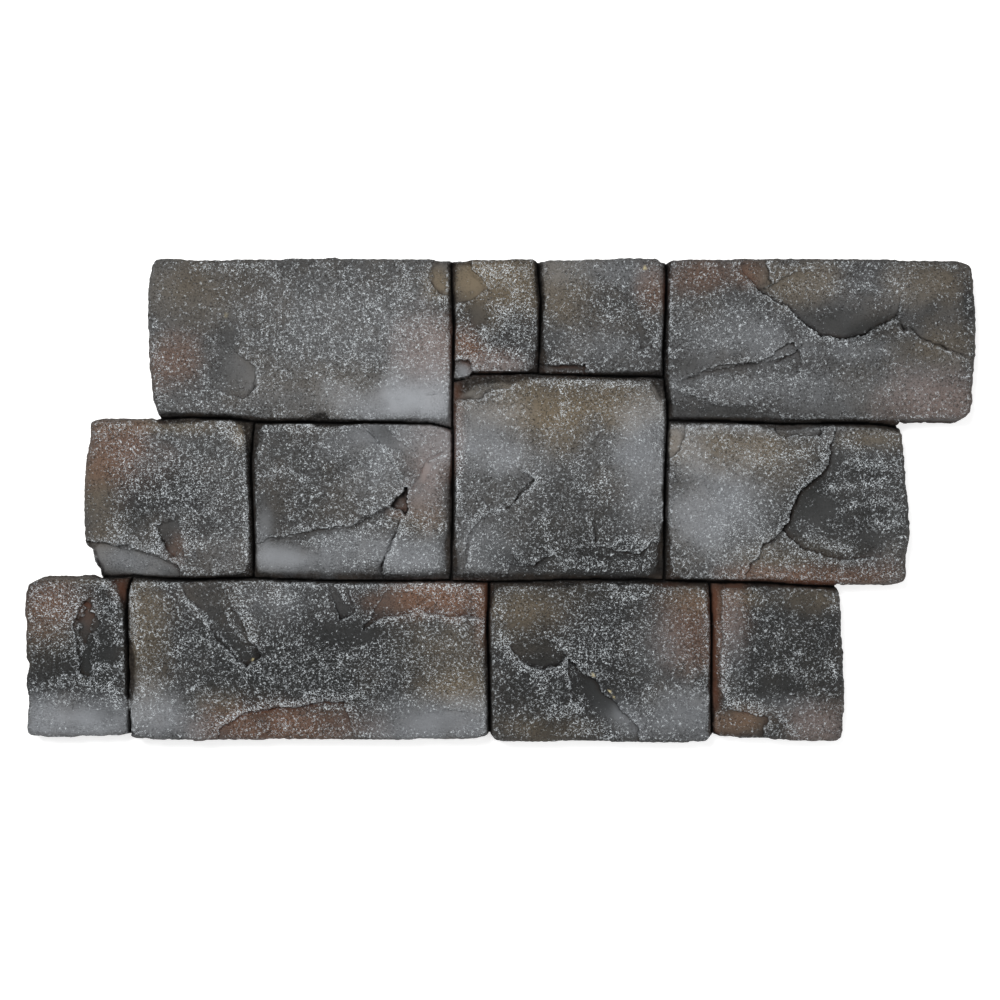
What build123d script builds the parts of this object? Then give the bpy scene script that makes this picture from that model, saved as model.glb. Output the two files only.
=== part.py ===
from build123d import *

import math
import os
from dataclasses import dataclass

# Faux stone wall panel, moulded in one piece
# Three staggered courses of split-faced stones stand on one backing, so that the stepped
# ends of neighbouring panels lock together. The panel lies on its back: +X runs along the
# courses, +Y up the wall, and +Z out of the stone faces. Lengths are in millimetres.

# The courses and the joints between their stones
course_pitch = 209.0  # joint line to joint line, up the wall
course_step = 77.0  # each course starts this far to the right of the one below
joint_width = 10.0  # between two stones, at the level of their faces
tall_block_rise = 56.5  # how far the tall block stands up into the top course

# Stone widths, from joint line to joint line. The cracked block fills what is left
# between the rusty block and the tall block, which is as wide as the two stones on it.
plain_slab_width = 397.0
thin_header_width = 112.0
short_block_width = 162.0
scalloped_slab_width = 401.0
rusty_block_width = 216.0
scooped_slab_width = 316.0
end_block_width = 136.0
long_slab_width = 464.0
pocket_slab_width = 287.0
corner_block_width = 172.0

# Heights above the flat back, and the form of the stones' edges
backing_thickness = 20.0  # back to the floor of the joints
face_height = 42.0  # back to a stone's face, before each stone's own offset
backing_setback = 6.0  # the backing stops this far inside the panel's outer joint lines
flank_draft = 9.5  # degrees that a stone's sides lean in, so that it leaves the mould
corner_radius = 7.0
arris_radius = 4.0


@dataclass
class Cleft:
    """A flake split off a stone's face, down to a sloping plane with a ledge around it.

    Places are shares of the stone's width and height, from its lower left corner. The
    plane is `depth` below the face at `deep`, and comes up to the face at `runout`.
    """

    outline: list
    deep: tuple
    runout: tuple
    depth: float


@dataclass
class Stone:
    """One stone: its joint lines, and how its face differs from a plain block's."""

    left: float
    right: float
    bottom: float
    top: float
    proud: float  # how far the face stands above face_height
    lean: tuple  # rise of the face from left to right, and from bottom to top
    bow: tuple  # swell of the left, top, right and bottom side between its corners
    clefts: list

    def at(self, share):
        """Plan position of a place given in shares of the stone's width and height."""
        x = self.left + share[0] * (self.right - self.left)
        y = self.bottom + share[1] * (self.top - self.bottom)
        return Vector(x, y)

    @property
    def crown(self):
        return face_height + self.proud


# Joint lines, from the bottom of the panel to its top
bottom_edge, low_joint, high_joint, top_edge = (
    (line - 1.5) * course_pitch for line in range(4)
)
tall_block_top = high_joint + tall_block_rise

# Upright joint lines, from left to right in each course, with the panel's middle at zero
top_course_length = plain_slab_width + thin_header_width + short_block_width + scalloped_slab_width
left_end = -(2 * course_step + top_course_length) / 2
top_left = left_end + 2 * course_step
header_left = top_left + plain_slab_width
short_left = header_left + thin_header_width
scalloped_left = short_left + short_block_width
top_right = scalloped_left + scalloped_slab_width

middle_left = left_end + course_step
cracked_left = middle_left + rusty_block_width
scooped_left = scalloped_left
middle_right = scooped_left + scooped_slab_width

long_left = left_end + end_block_width
pocket_left = long_left + long_slab_width
corner_left = pocket_left + pocket_slab_width
bottom_right = corner_left + corner_block_width


# The top course
plain_slab = Stone(
    top_left, header_left, high_joint, top_edge,
    proud=0.0, lean=(1.5, -1.0), bow=(6.0, 0.0, 0.0, 2.0),
    clefts=[
        Cleft(  # flake off the upper right corner
            [(0.92, 0.86), (0.94, 1.02), (1.03, 1.02), (1.03, 0.76), (0.955, 0.775)],
            deep=(1.0, 0.88), runout=(0.85, 0.88), depth=5.0,
        ),
        Cleft(  # shallow dish, low on the left
            [(0.36, 0.30), (0.36, 0.175), (0.32, 0.11), (0.22, 0.175), (0.19, 0.47), (0.29, 0.425)],
            deep=(0.345, 0.22), runout=(0.20, 0.42), depth=3.0,
        ),
    ],
)
thin_header = Stone(
    header_left, short_left, tall_block_top, top_edge,
    proud=-3.0, lean=(-1.0, 1.0), bow=(0.0, 0.0, 0.0, 0.0),
    clefts=[
        Cleft(  # slanting facet at the upper left
            [(-0.06, 1.03), (0.155, 1.03), (0.22, 0.90), (0.41, 0.73), (0.22, 0.635), (-0.06, 0.60)],
            deep=(0.0, 0.85), runout=(0.6, 0.85), depth=5.0,
        ),
        Cleft(  # square nick in the lower left corner
            [(-0.06, -0.04), (0.22, -0.04), (0.22, 0.10), (0.17, 0.13), (-0.06, 0.13)],
            deep=(0.0, 0.0), runout=(1.0, 1.0), depth=7.0,
        ),
    ],
)
short_block = Stone(
    short_left, scalloped_left, tall_block_top, top_edge,
    proud=-1.0, lean=(1.0, 1.0), bow=(0.0, 0.0, 0.0, 0.0),
    clefts=[
        Cleft(  # long nick in the bottom edge
            [(-0.04, -0.04), (0.40, -0.04), (0.40, 0.03), (0.35, 0.095), (-0.04, 0.09)],
            deep=(0.15, 0.0), runout=(0.15, 0.6), depth=8.0,
        ),
        Cleft(  # shallow dish at the right
            [(0.76, 0.48), (0.86, 0.52), (0.92, 0.40), (0.90, 0.24), (0.80, 0.22)],
            deep=(0.88, 0.26), runout=(0.78, 0.5), depth=2.5,
        ),
    ],
)
scalloped_slab = Stone(
    scalloped_left, top_right, high_joint, top_edge,
    proud=3.0, lean=(0.0, 1.0), bow=(0.0, 0.0, 6.0, 2.0),
    clefts=[
        Cleft(  # great scallop under the upper edge
            [
                (0.30, 0.80), (0.41, 0.66), (0.49, 0.53), (0.545, 0.50), (0.61, 0.51),
                (0.68, 0.58), (0.74, 0.645), (0.76, 0.81), (0.60, 0.94), (0.41, 0.91),
            ],
            deep=(0.56, 0.51), runout=(0.60, 0.92), depth=8.0,
        ),
        Cleft(  # lens-shaped flake, low on the left
            [
                (0.05, 0.245), (0.115, 0.305), (0.215, 0.34), (0.315, 0.37),
                (0.41, 0.485), (0.44, 0.365), (0.375, 0.16), (0.115, 0.16),
            ],
            deep=(0.33, 0.37), runout=(0.34, 0.12), depth=3.5,
        ),
        Cleft(  # break along the bottom edge
            [
                (-0.03, 0.205), (0.10, 0.145), (0.165, 0.10), (0.315, 0.095),
                (0.395, 0.045), (0.395, -0.04), (-0.03, -0.04),
            ],
            deep=(0.16, 0.0), runout=(0.18, 0.14), depth=9.0,
        ),
        Cleft(  # notch in the top edge
            [(0.235, 1.03), (0.25, 0.905), (0.30, 0.795), (0.335, 0.845), (0.31, 1.03)],
            deep=(0.29, 0.85), runout=(0.20, 1.0), depth=4.0,
        ),
    ],
)

# The middle course
rusty_block = Stone(
    middle_left, cracked_left, low_joint, high_joint,
    proud=1.0, lean=(1.0, 0.0), bow=(4.0, 0.0, 0.0, 0.0),
    clefts=[
        Cleft(  # big flake off the lower left corner
            [
                (-0.04, 0.215), (0.09, 0.225), (0.27, 0.195), (0.45, 0.145),
                (0.56, 0.08), (0.62, -0.04), (-0.04, -0.04),
            ],
            deep=(0.14, 0.02), runout=(0.22, 0.30), depth=14.0,
        ),
        Cleft(  # small slanting facet beside it
            [(0.43, 0.33), (0.47, 0.245), (0.525, 0.135), (0.60, 0.145), (0.61, 0.32), (0.51, 0.385)],
            deep=(0.49, 0.20), runout=(0.63, 0.31), depth=3.5,
        ),
    ],
)
cracked_block = Stone(
    cracked_left, header_left, low_joint, high_joint,
    proud=-0.5, lean=(0.0, 0.0), bow=(0.0, 0.0, 0.0, 0.0),
    clefts=[
        Cleft(  # lower plate, below the long crack
            [
                (-0.04, 0.205), (0.145, 0.265), (0.32, 0.31), (0.52, 0.345), (0.67, 0.455),
                (0.76, 0.43), (0.72, 0.285), (0.67, 0.125), (0.645, -0.04), (-0.04, -0.04),
            ],
            deep=(0.35, 0.0), runout=(0.20, 0.62), depth=6.0,
        ),
        Cleft(  # right-hand plate
            [
                (0.76, 0.54), (0.82, 0.64), (0.89, 0.77), (1.04, 0.80), (1.04, -0.04),
                (0.645, -0.04), (0.67, 0.125), (0.72, 0.285), (0.76, 0.43),
            ],
            deep=(1.0, 0.3), runout=(0.62, 0.36), depth=5.0,
        ),
        Cleft(  # upper right plate
            [
                (0.535, 1.04), (0.645, 0.85), (0.72, 0.69), (0.76, 0.555),
                (0.82, 0.64), (0.89, 0.77), (1.04, 0.80), (1.04, 1.04),
            ],
            deep=(0.98, 0.98), runout=(0.66, 0.72), depth=7.0,
        ),
        Cleft(  # pit where the cracks meet
            [(0.69, 0.46), (0.77, 0.585), (0.775, 0.40)],
            deep=(0.74, 0.47), runout=(0.3, 0.47), depth=9.0,
        ),
    ],
)
tall_block = Stone(
    header_left, scalloped_left, low_joint, tall_block_top,
    proud=1.5, lean=(0.5, 1.0), bow=(0.0, 2.0, 0.0, 0.0),
    clefts=[
        Cleft(  # dish in the left half
            [
                (0.39, 0.49), (0.305, 0.38), (0.265, 0.355), (0.18, 0.34),
                (0.095, 0.48), (0.14, 0.585), (0.28, 0.575),
            ],
            deep=(0.28, 0.37), runout=(0.14, 0.56), depth=4.0,
        ),
        Cleft(  # flake off the lower left edge
            [(0.18, 0.32), (0.125, 0.275), (0.075, 0.17), (0.055, 0.02), (-0.04, 0.02), (-0.04, 0.30)],
            deep=(0.0, 0.1), runout=(0.17, 0.16), depth=6.0,
        ),
        Cleft(  # slope along the bottom edge
            [
                (0.27, 0.09), (0.365, 0.07), (0.435, 0.105), (0.55, 0.165), (0.69, 0.17),
                (0.88, 0.135), (1.03, 0.24), (1.03, -0.04), (0.25, -0.04),
            ],
            deep=(0.75, 0.0), runout=(0.70, 0.23), depth=10.0,
        ),
        Cleft(  # slope off the upper left corner
            [(-0.04, 1.03), (0.32, 1.03), (0.27, 0.945), (0.16, 0.925), (0.135, 0.885), (-0.04, 0.88)],
            deep=(0.02, 0.97), runout=(0.3, 0.84), depth=7.0,
        ),
    ],
)
scooped_slab = Stone(
    scooped_left, middle_right, low_joint, high_joint,
    proud=2.5, lean=(-1.0, 0.5), bow=(0.0, 0.0, 5.0, 0.0),
    clefts=[
        Cleft(  # deep scoop out of the right half
            [
                (0.715, 1.03), (0.67, 0.825), (0.665, 0.725), (0.62, 0.65), (0.555, 0.575),
                (0.53, 0.485), (0.50, 0.39), (0.485, 0.32), (0.555, 0.215), (0.72, 0.14),
                (1.04, 0.20), (1.04, 1.03),
            ],
            deep=(0.52, 0.44), runout=(1.0, 0.50), depth=9.0,
        ),
        Cleft(  # plate below the scoop
            [
                (0.485, 0.32), (0.41, 0.235), (0.37, 0.14), (0.295, -0.04),
                (0.72, -0.04), (0.72, 0.14), (0.555, 0.215),
            ],
            deep=(0.40, 0.15), runout=(0.75, 0.12), depth=4.0,
        ),
        Cleft(  # slot along the top edge
            [(0.44, 1.04), (0.45, 0.92), (0.55, 0.90), (0.63, 0.915), (0.64, 1.04)],
            deep=(0.57, 0.96), runout=(0.57, 0.70), depth=6.0,
        ),
        Cleft(  # flake off the upper left corner
            [(-0.04, 1.04), (0.075, 1.04), (0.08, 0.885), (0.06, 0.81), (0.03, 0.775), (-0.04, 0.77)],
            deep=(0.0, 0.95), runout=(0.16, 0.80), depth=7.0,
        ),
    ],
)

# The bottom course
end_block = Stone(
    left_end, long_left, bottom_edge, low_joint,
    proud=0.5, lean=(-0.5, 0.5), bow=(1.5, 1.5, 0.0, 0.0),
    clefts=[
        Cleft(  # ragged pit down the middle
            [
                (0.59, 0.875), (0.69, 0.80), (0.63, 0.71), (0.68, 0.61), (0.61, 0.495),
                (0.66, 0.395), (0.555, 0.415), (0.515, 0.56), (0.475, 0.72),
            ],
            deep=(0.55, 0.60), runout=(0.85, 0.62), depth=4.0,
        ),
        Cleft(  # slope along the bottom edge
            [
                (-0.05, 0.25), (0.17, 0.31), (0.465, 0.355), (0.81, 0.33),
                (1.05, 0.25), (1.05, -0.05), (-0.05, -0.05),
            ],
            deep=(0.5, 0.0), runout=(0.48, 0.42), depth=7.0,
        ),
    ],
)
long_slab = Stone(
    long_left, pocket_left, bottom_edge, low_joint,
    proud=2.0, lean=(-1.0, 0.0), bow=(0.0, 0.0, 0.0, 0.0),
    clefts=[
        Cleft(  # slanting band from the top edge
            [
                (0.135, 1.04), (0.145, 0.95), (0.21, 0.78), (0.25, 0.625), (0.325, 0.455),
                (0.37, 0.53), (0.335, 0.64), (0.30, 0.78), (0.245, 1.04),
            ],
            deep=(0.33, 0.48), runout=(0.10, 1.25), depth=5.0,
        ),
        Cleft(  # plate along the bottom edge
            [
                (0.265, 0.10), (0.32, 0.175), (0.39, 0.21), (0.475, 0.225),
                (0.555, 0.255), (0.60, 0.245), (0.64, -0.04), (0.235, -0.04),
            ],
            deep=(0.42, 0.21), runout=(0.43, -0.10), depth=4.5,
        ),
        Cleft(  # plate along the top edge, at the right
            [
                (0.65, 0.69), (0.71, 0.77), (0.765, 0.79), (0.805, 0.83), (0.83, 0.795),
                (0.945, 0.775), (1.03, 0.76), (1.03, 1.04), (0.74, 1.04),
            ],
            deep=(0.84, 0.80), runout=(0.80, 1.10), depth=4.0,
        ),
        Cleft(  # wedge-shaped notch in the top edge
            [(0.55, 1.04), (0.565, 0.875), (0.59, 0.75), (0.63, 0.81), (0.61, 0.94), (0.60, 1.04)],
            deep=(0.59, 0.80), runout=(0.575, 1.05), depth=4.0,
        ),
    ],
)
pocket_slab = Stone(
    pocket_left, corner_left, bottom_edge, low_joint,
    proud=0.5, lean=(0.5, 1.0), bow=(0.0, 0.0, 0.0, 1.5),
    clefts=[
        Cleft(  # rounded pocket
            [
                (0.09, 0.605), (0.135, 0.51), (0.225, 0.46), (0.315, 0.48),
                (0.35, 0.54), (0.29, 0.635), (0.18, 0.69), (0.11, 0.66),
            ],
            deep=(0.225, 0.48), runout=(0.21, 0.70), depth=5.0,
        ),
        Cleft(  # slanting ledge below it
            [
                (0.35, 0.525), (0.45, 0.41), (0.54, 0.28), (0.68, 0.105),
                (0.67, 0.03), (0.45, 0.07), (0.38, 0.26),
            ],
            deep=(0.50, 0.32), runout=(0.38, 0.13), depth=5.5,
        ),
    ],
)
corner_block = Stone(
    corner_left, bottom_right, bottom_edge, low_joint,
    proud=-1.0, lean=(-0.5, -0.5), bow=(0.0, 0.0, 3.0, 1.5),
    clefts=[
        Cleft(  # broken left edge
            [(-0.06, 1.04), (0.07, 0.97), (0.075, 0.645), (0.055, 0.375), (0.115, 0.23), (-0.06, 0.20)],
            deep=(0.0, 0.6), runout=(0.12, 0.6), depth=10.0,
        ),
        Cleft(  # flake off the lower left corner
            [(-0.06, 0.23), (0.07, 0.225), (0.245, 0.205), (0.42, 0.17), (0.36, -0.05), (-0.06, -0.05)],
            deep=(0.15, 0.0), runout=(0.2, 0.36), depth=6.0,
        ),
    ],
)

stones = [
    plain_slab, thin_header, short_block, scalloped_slab,
    rusty_block, cracked_block, tall_block, scooped_slab,
    end_block, long_slab, pocket_slab, corner_block,
]


def face_plane(stone):
    """The leaning plane of a stone's face."""
    rise_x = stone.lean[0] / (stone.right - stone.left)
    rise_y = stone.lean[1] / (stone.top - stone.bottom)
    middle = stone.at((0.5, 0.5))
    return Plane(origin=(middle.X, middle.Y, stone.crown), z_dir=(-rise_x, -rise_y, 1))


def cleft_tool(stone, cleft):
    """What splits off at a cleft: all that stands over its outline and above its plane."""
    deep = stone.at(cleft.deep)
    run = stone.at(cleft.runout) - deep
    fall = run * (cleft.depth / run.length**2)
    floor = Plane(origin=(deep.X, deep.Y, stone.crown - cleft.depth), z_dir=(-fall.X, -fall.Y, 1))
    with BuildPart() as tool:
        with BuildSketch():
            with BuildLine():
                Polyline(*[stone.at(point) for point in cleft.outline], close=True)
            make_face()
        extrude(amount=2 * stone.crown, dir=(0, 0, 1))
        split(bisect_by=floor, keep=Keep.TOP)
    return tool.part


def side(start, middle, end, bow):
    """One side of a stone's outline, straight or swelling out between its corners."""
    if bow > 0:
        ThreePointArc(start, middle, end)
    else:
        Line(start, end)


def make_stone(stone):
    """A stone from its back to its face, with drafted sides, rounded arrises and clefts."""
    inset = joint_width / 2 - stone.crown * math.tan(math.radians(flank_draft))
    left, right = stone.left + inset, stone.right - inset
    bottom, top = stone.bottom + inset, stone.top - inset
    bow_left, bow_top, bow_right, bow_bottom = stone.bow
    lower_left = (left + bow_left, bottom + bow_bottom)
    upper_left = (left + bow_left, top - bow_top)
    upper_right = (right - bow_right, top - bow_top)
    lower_right = (right - bow_right, bottom + bow_bottom)
    middle = stone.at((0.5, 0.5))
    flakes = [cleft_tool(stone, cleft) for cleft in stone.clefts]
    with BuildPart() as block:
        with BuildSketch():
            with BuildLine():
                side(lower_left, (middle.X, bottom), lower_right, bow_bottom)
                side(lower_right, (right, middle.Y), upper_right, bow_right)
                side(upper_right, (middle.X, top), upper_left, bow_top)
                side(upper_left, (left, middle.Y), lower_left, bow_left)
            make_face()
        extrude(amount=stone.crown + arris_radius, taper=flank_draft)
        split(bisect_by=face_plane(stone), keep=Keep.BOTTOM)
        back, face = block.faces().sort_by(Axis.Z)[0], block.faces().sort_by(Axis.Z)[-1]
        fillet(block.edges() - back.edges() - face.edges(), corner_radius)
        fillet(block.faces().sort_by(Axis.Z)[-1].edges(), arris_radius)
        add(flakes, mode=Mode.SUBTRACT)
    return block.part


def course_rectangle(left, right, bottom, top):
    """The part of the backing that lies under one course, out to its joint lines."""
    with Locations(((left + right) / 2, (bottom + top) / 2)):
        Rectangle(right - left, top - bottom)


moulded_stones = [make_stone(stone) for stone in stones]

with BuildPart() as panel:
    with BuildSketch() as backing:
        course_rectangle(top_left, top_right, high_joint, top_edge)
        course_rectangle(middle_left, middle_right, low_joint, high_joint)
        course_rectangle(left_end, bottom_right, bottom_edge, low_joint)
        offset(amount=-backing_setback, kind=Kind.INTERSECTION, mode=Mode.REPLACE)
    extrude(amount=backing_thickness)
    add(moulded_stones)

panel.part.label = "panel"
os.makedirs("parts", exist_ok=True)
export_step(panel.part, "parts/panel.step")
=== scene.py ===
import bpy
import numpy as np
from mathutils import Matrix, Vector
from mathutils.bvhtree import BVHTree
from mathutils.kdtree import KDTree


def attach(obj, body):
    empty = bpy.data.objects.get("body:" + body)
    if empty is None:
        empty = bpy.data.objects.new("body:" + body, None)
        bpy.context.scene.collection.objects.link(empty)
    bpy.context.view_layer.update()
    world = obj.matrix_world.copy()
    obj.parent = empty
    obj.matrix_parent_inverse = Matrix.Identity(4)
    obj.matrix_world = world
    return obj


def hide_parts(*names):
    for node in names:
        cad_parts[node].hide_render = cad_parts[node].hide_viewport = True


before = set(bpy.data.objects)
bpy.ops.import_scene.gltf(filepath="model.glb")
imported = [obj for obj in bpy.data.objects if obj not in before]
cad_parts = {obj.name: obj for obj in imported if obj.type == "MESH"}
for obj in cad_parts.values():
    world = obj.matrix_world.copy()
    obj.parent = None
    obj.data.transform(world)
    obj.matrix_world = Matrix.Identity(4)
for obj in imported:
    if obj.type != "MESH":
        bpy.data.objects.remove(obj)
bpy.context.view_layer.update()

# The casting
# The panel is rigid foam, cast in one piece in a rubber mould that was taken from split stone.
# Its heights are kept on a fine grid, in millimetres above the flat back, and so are the places
# and strengths of the paint. Each stone is then worked in turn, as the mould maker carved it.
grid_step = 1.5
joint_floor = 20.0
plan_x, plan_y = np.meshgrid(np.arange(-630.0, 630.1, grid_step), np.arange(-327.0, 327.1, grid_step))
stone_number = np.zeros(plan_x.shape, int)
here = np.zeros(plan_x.shape, bool)
moulded = np.full_like(plan_x, 42.0)
relief, torn, bridged, cleaved, brushed, cream = np.zeros((6, *plan_x.shape))
from_joint, from_arris = np.zeros((2, *plan_x.shape))
slot = np.ones_like(plan_x)
undertone = np.full_like(plan_x, 0.45)
tints = {name: np.zeros_like(plan_x) for name in ("rust", "ochre", "pale", "soot")}
solid = BVHTree.FromObject(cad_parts["panel"], bpy.context.evaluated_depsgraph_get())

# The joints and the outer edges
# Black-washed grooves between the stones, and the edges of the panel, as the mould gave them: beds run
# from left to right, and the upright ones from top to bottom.
sheet_square = 1.2856
sheet_turn = 0.0061


def on_panel(marks):
    """Marks on a setting-out sheet of 1000 squares a side, taken to the panel in millimetres."""
    across, down = np.asarray(marks, float).T
    across, up = across - 499.5, 500.0 - down
    return sheet_square * np.stack((across - sheet_turn * up, up + sheet_turn * across), 1)


top_edge = on_panel([
    (146, 264), (157, 259), (180, 260), (215, 260.5), (260, 260), (330, 258.5), (380, 259.5), (440, 260.5),
    (446, 261), (455, 261), (470, 260.5), (500, 260), (520, 259), (533, 259), (538, 261.5), (550, 261),
    (570, 260.5), (620, 259), (658, 259), (661, 262), (666, 263), (670, 261), (690, 260.5), (730, 260),
    (760, 259), (850, 259.5), (880, 260.5), (920, 261.5), (956, 262), (967, 265), (975, 272)])
tall_bed = on_panel([
    (446, 380), (455, 379.5), (468, 377), (472, 373), (500, 372.5), (530, 372.5), (560, 373.8),
    (590, 374.8), (620, 375.5), (650, 376), (668, 377)])
upper_bed = on_panel([
    (84, 427), (90, 422), (96, 420), (106, 419.5), (140, 420), (157, 418.5), (190, 416.8), (230, 418.5),
    (260, 422), (300, 422.3), (350, 422.3), (400, 422.3), (430, 423.5), (445, 426.5), (455, 430)])
right_bed = on_panel([
    (660, 419.5), (700, 420.6), (740, 422), (780, 423.2), (820, 423), (860, 422.6), (885, 424.5),
    (898, 427), (900, 420.5), (930, 418.5), (956, 420), (965, 417), (972, 409)])
lower_bed = on_panel([
    (24, 587), (29, 583.5), (36, 580.5), (46, 579.5), (60, 579.5), (80, 579), (100, 578.3), (130, 576.5),
    (160, 579.5), (190, 580.5), (220, 579), (250, 578.3), (280, 580.5), (320, 581.8), (360, 582.5),
    (400, 581.8), (440, 581.8), (480, 582.3), (520, 582.3), (560, 580.5), (600, 580.5), (640, 581),
    (690, 582), (720, 582), (760, 583), (800, 586), (835, 587.5), (838, 584), (870, 583.5), (896, 583.5),
    (906, 580)])
bottom_edge = on_panel([
    (24, 729), (31, 736), (60, 737), (100, 736), (124, 734.5), (129, 733.5), (133, 737), (160, 739),
    (200, 739.8), (300, 738.5), (350, 739), (400, 739), (440, 738), (470, 738), (484, 736.5), (489, 734),
    (494, 739), (500, 741), (540, 741), (605, 740), (612, 741.5), (650, 742), (680, 742), (706, 740.5),
    (710, 737), (712, 734.5), (718, 736), (740, 737.5), (770, 738.5), (800, 741), (836, 740.5), (845, 735)])
plain_left = on_panel([
    (159, 256), (152, 265), (149, 280), (147.5, 300), (148.5, 345), (149.5, 365), (152, 385), (153, 400),
    (157, 412), (158, 424)])
tall_left = on_panel([
    (451, 256), (450.5, 280), (452, 300), (453, 330), (452.5, 360), (451.5, 380), (451.5, 400), (452, 430),
    (452.5, 470), (452, 520), (451, 550), (450.5, 584)])
header_right = on_panel([(537, 256), (538.8, 280), (541, 300), (540.3, 320), (539, 345), (538, 378)])
tall_right = on_panel([
    (667, 256), (667, 290), (665.5, 330), (664, 350), (665, 380), (668, 400), (667.8, 430), (667, 450),
    (665.5, 480), (664.5, 520), (665.3, 550), (665, 586)])
scalloped_right = on_panel([
    (967.5, 258), (970, 268), (971.5, 285), (973.5, 310), (973.5, 350), (971.5, 375), (970.3, 390),
    (970.5, 405), (968, 415), (960, 424)])
rusty_left = on_panel([
    (91, 417), (91, 425), (91.3, 435), (88.5, 450), (86.5, 460), (85.5, 470), (85, 520), (85.5, 545),
    (91, 550), (93, 561), (95.5, 567), (98.5, 570), (99, 580)])
rusty_right = on_panel([
    (253, 416), (250.5, 440), (248.8, 460), (249, 480), (250, 500), (251, 520), (251.5, 545), (252, 582)])
scooped_right = on_panel([
    (898.5, 422), (900, 432), (902, 450), (904, 480), (907, 505), (908, 525), (908, 540), (905.5, 552),
    (904, 565), (904, 580), (902, 586)])
end_left = on_panel([
    (33, 576), (28, 587), (26, 600), (26, 615), (27, 630), (27, 658), (30, 665), (28, 672), (26, 682),
    (29, 695), (27, 720), (25.5, 731), (33, 740)])
end_right = on_panel([
    (131, 574), (126, 590), (124.3, 610), (125, 640), (125.3, 660), (126, 680), (125.5, 692), (128, 705),
    (127.5, 720), (129, 740)])
long_right = on_panel([(489, 576), (488, 600), (487, 630), (488, 660), (488.8, 690), (489.5, 745)])
corner_left = on_panel([(710, 580), (711.5, 600), (712.6, 630), (712.2, 660), (712, 690), (713, 745)])
corner_right = on_panel([
    (836.5, 582), (838.5, 595), (840, 615), (840, 630), (841.5, 645), (842.5, 670), (843, 705), (842, 720),
    (841, 735), (838, 744)])

# The plain slab, at the upper left
# The flattest stone of the panel: even grain, a flake off its right corner and a dish at the left.
# The mould maker's tools are laid out here, since this is the first stone to be worked.
flank_draft = 9.5


def lumps(x, y, size, seed):
    """Smooth bumps about as far apart as size, mostly between -1 and 1."""
    repeat = 128
    turns = np.random.default_rng(seed).uniform(0.0, 2.0 * np.pi, (repeat, repeat))
    column, row = np.floor(x / size).astype(int), np.floor(y / size).astype(int)
    along_x, along_y = x / size - column, y / size - row

    def corner(right, up):
        turn = turns[(column + right) % repeat, (row + up) % repeat]
        return np.cos(turn) * (along_x - right) + np.sin(turn) * (along_y - up)

    ease_x = along_x * along_x * (3.0 - 2.0 * along_x)
    ease_y = along_y * along_y * (3.0 - 2.0 * along_y)
    low = corner(0, 0) * (1.0 - ease_x) + corner(1, 0) * ease_x
    high = corner(0, 1) * (1.0 - ease_x) + corner(1, 1) * ease_x
    return 1.5 * (low * (1.0 - ease_y) + high * ease_y)


def roughness(x, y, size, octaves, seed):
    """Bumps of a size, with ever smaller and lower ones on them."""
    total = np.zeros_like(x)
    for octave in range(octaves):
        total += lumps(x, y, size / 2**octave, seed + octave) / 2**octave
    return total


def fade(value, start, end):
    """A soft step from 0 at start to 1 at end."""
    share = np.clip((value - start) / (end - start), 0.0, 1.0)
    return share * share * (3.0 - 2.0 * share)


def along(line, x, y):
    """How far places lie from a broken line, on which side of it, and how far along it."""
    gap, side, share = np.full(x.shape, 1e9), np.zeros(x.shape), np.zeros(x.shape)
    lengths = np.hypot(*np.diff(line, axis=0).T)
    gone = 0.0
    for start, end, length in zip(line[:-1], line[1:], lengths):
        run_x, run_y = end - start
        part = np.clip(((x - start[0]) * run_x + (y - start[1]) * run_y) / length**2, 0.0, 1.0)
        reach = np.hypot(x - start[0] - part * run_x, y - start[1] - part * run_y)
        closer = reach < gap
        gap = np.where(closer, reach, gap)
        side = np.where(closer, run_x * (y - start[1]) - run_y * (x - start[0]), side)
        share = np.where(closer, (gone + part * length) / lengths.sum(), share)
        gone += length
    return gap, side, share


def within(marks, x, y):
    """How far places lie inside a closed line of marks. Outside it is less than nothing."""
    line = on_panel(marks)
    gap = along(np.concatenate((line, line[:1])), x, y)[0]
    held = np.zeros(x.shape, bool)
    for (start_x, start_y), (end_x, end_y) in zip(line, np.roll(line, -1, 0)):
        level = (start_y > y) != (end_y > y)
        reach = start_x + (end_x - start_x) * (y - start_y) / (end_y - start_y if end_y != start_y else 1.0)
        held ^= level & (x < reach)
    return np.where(held, gap, -gap)


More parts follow.
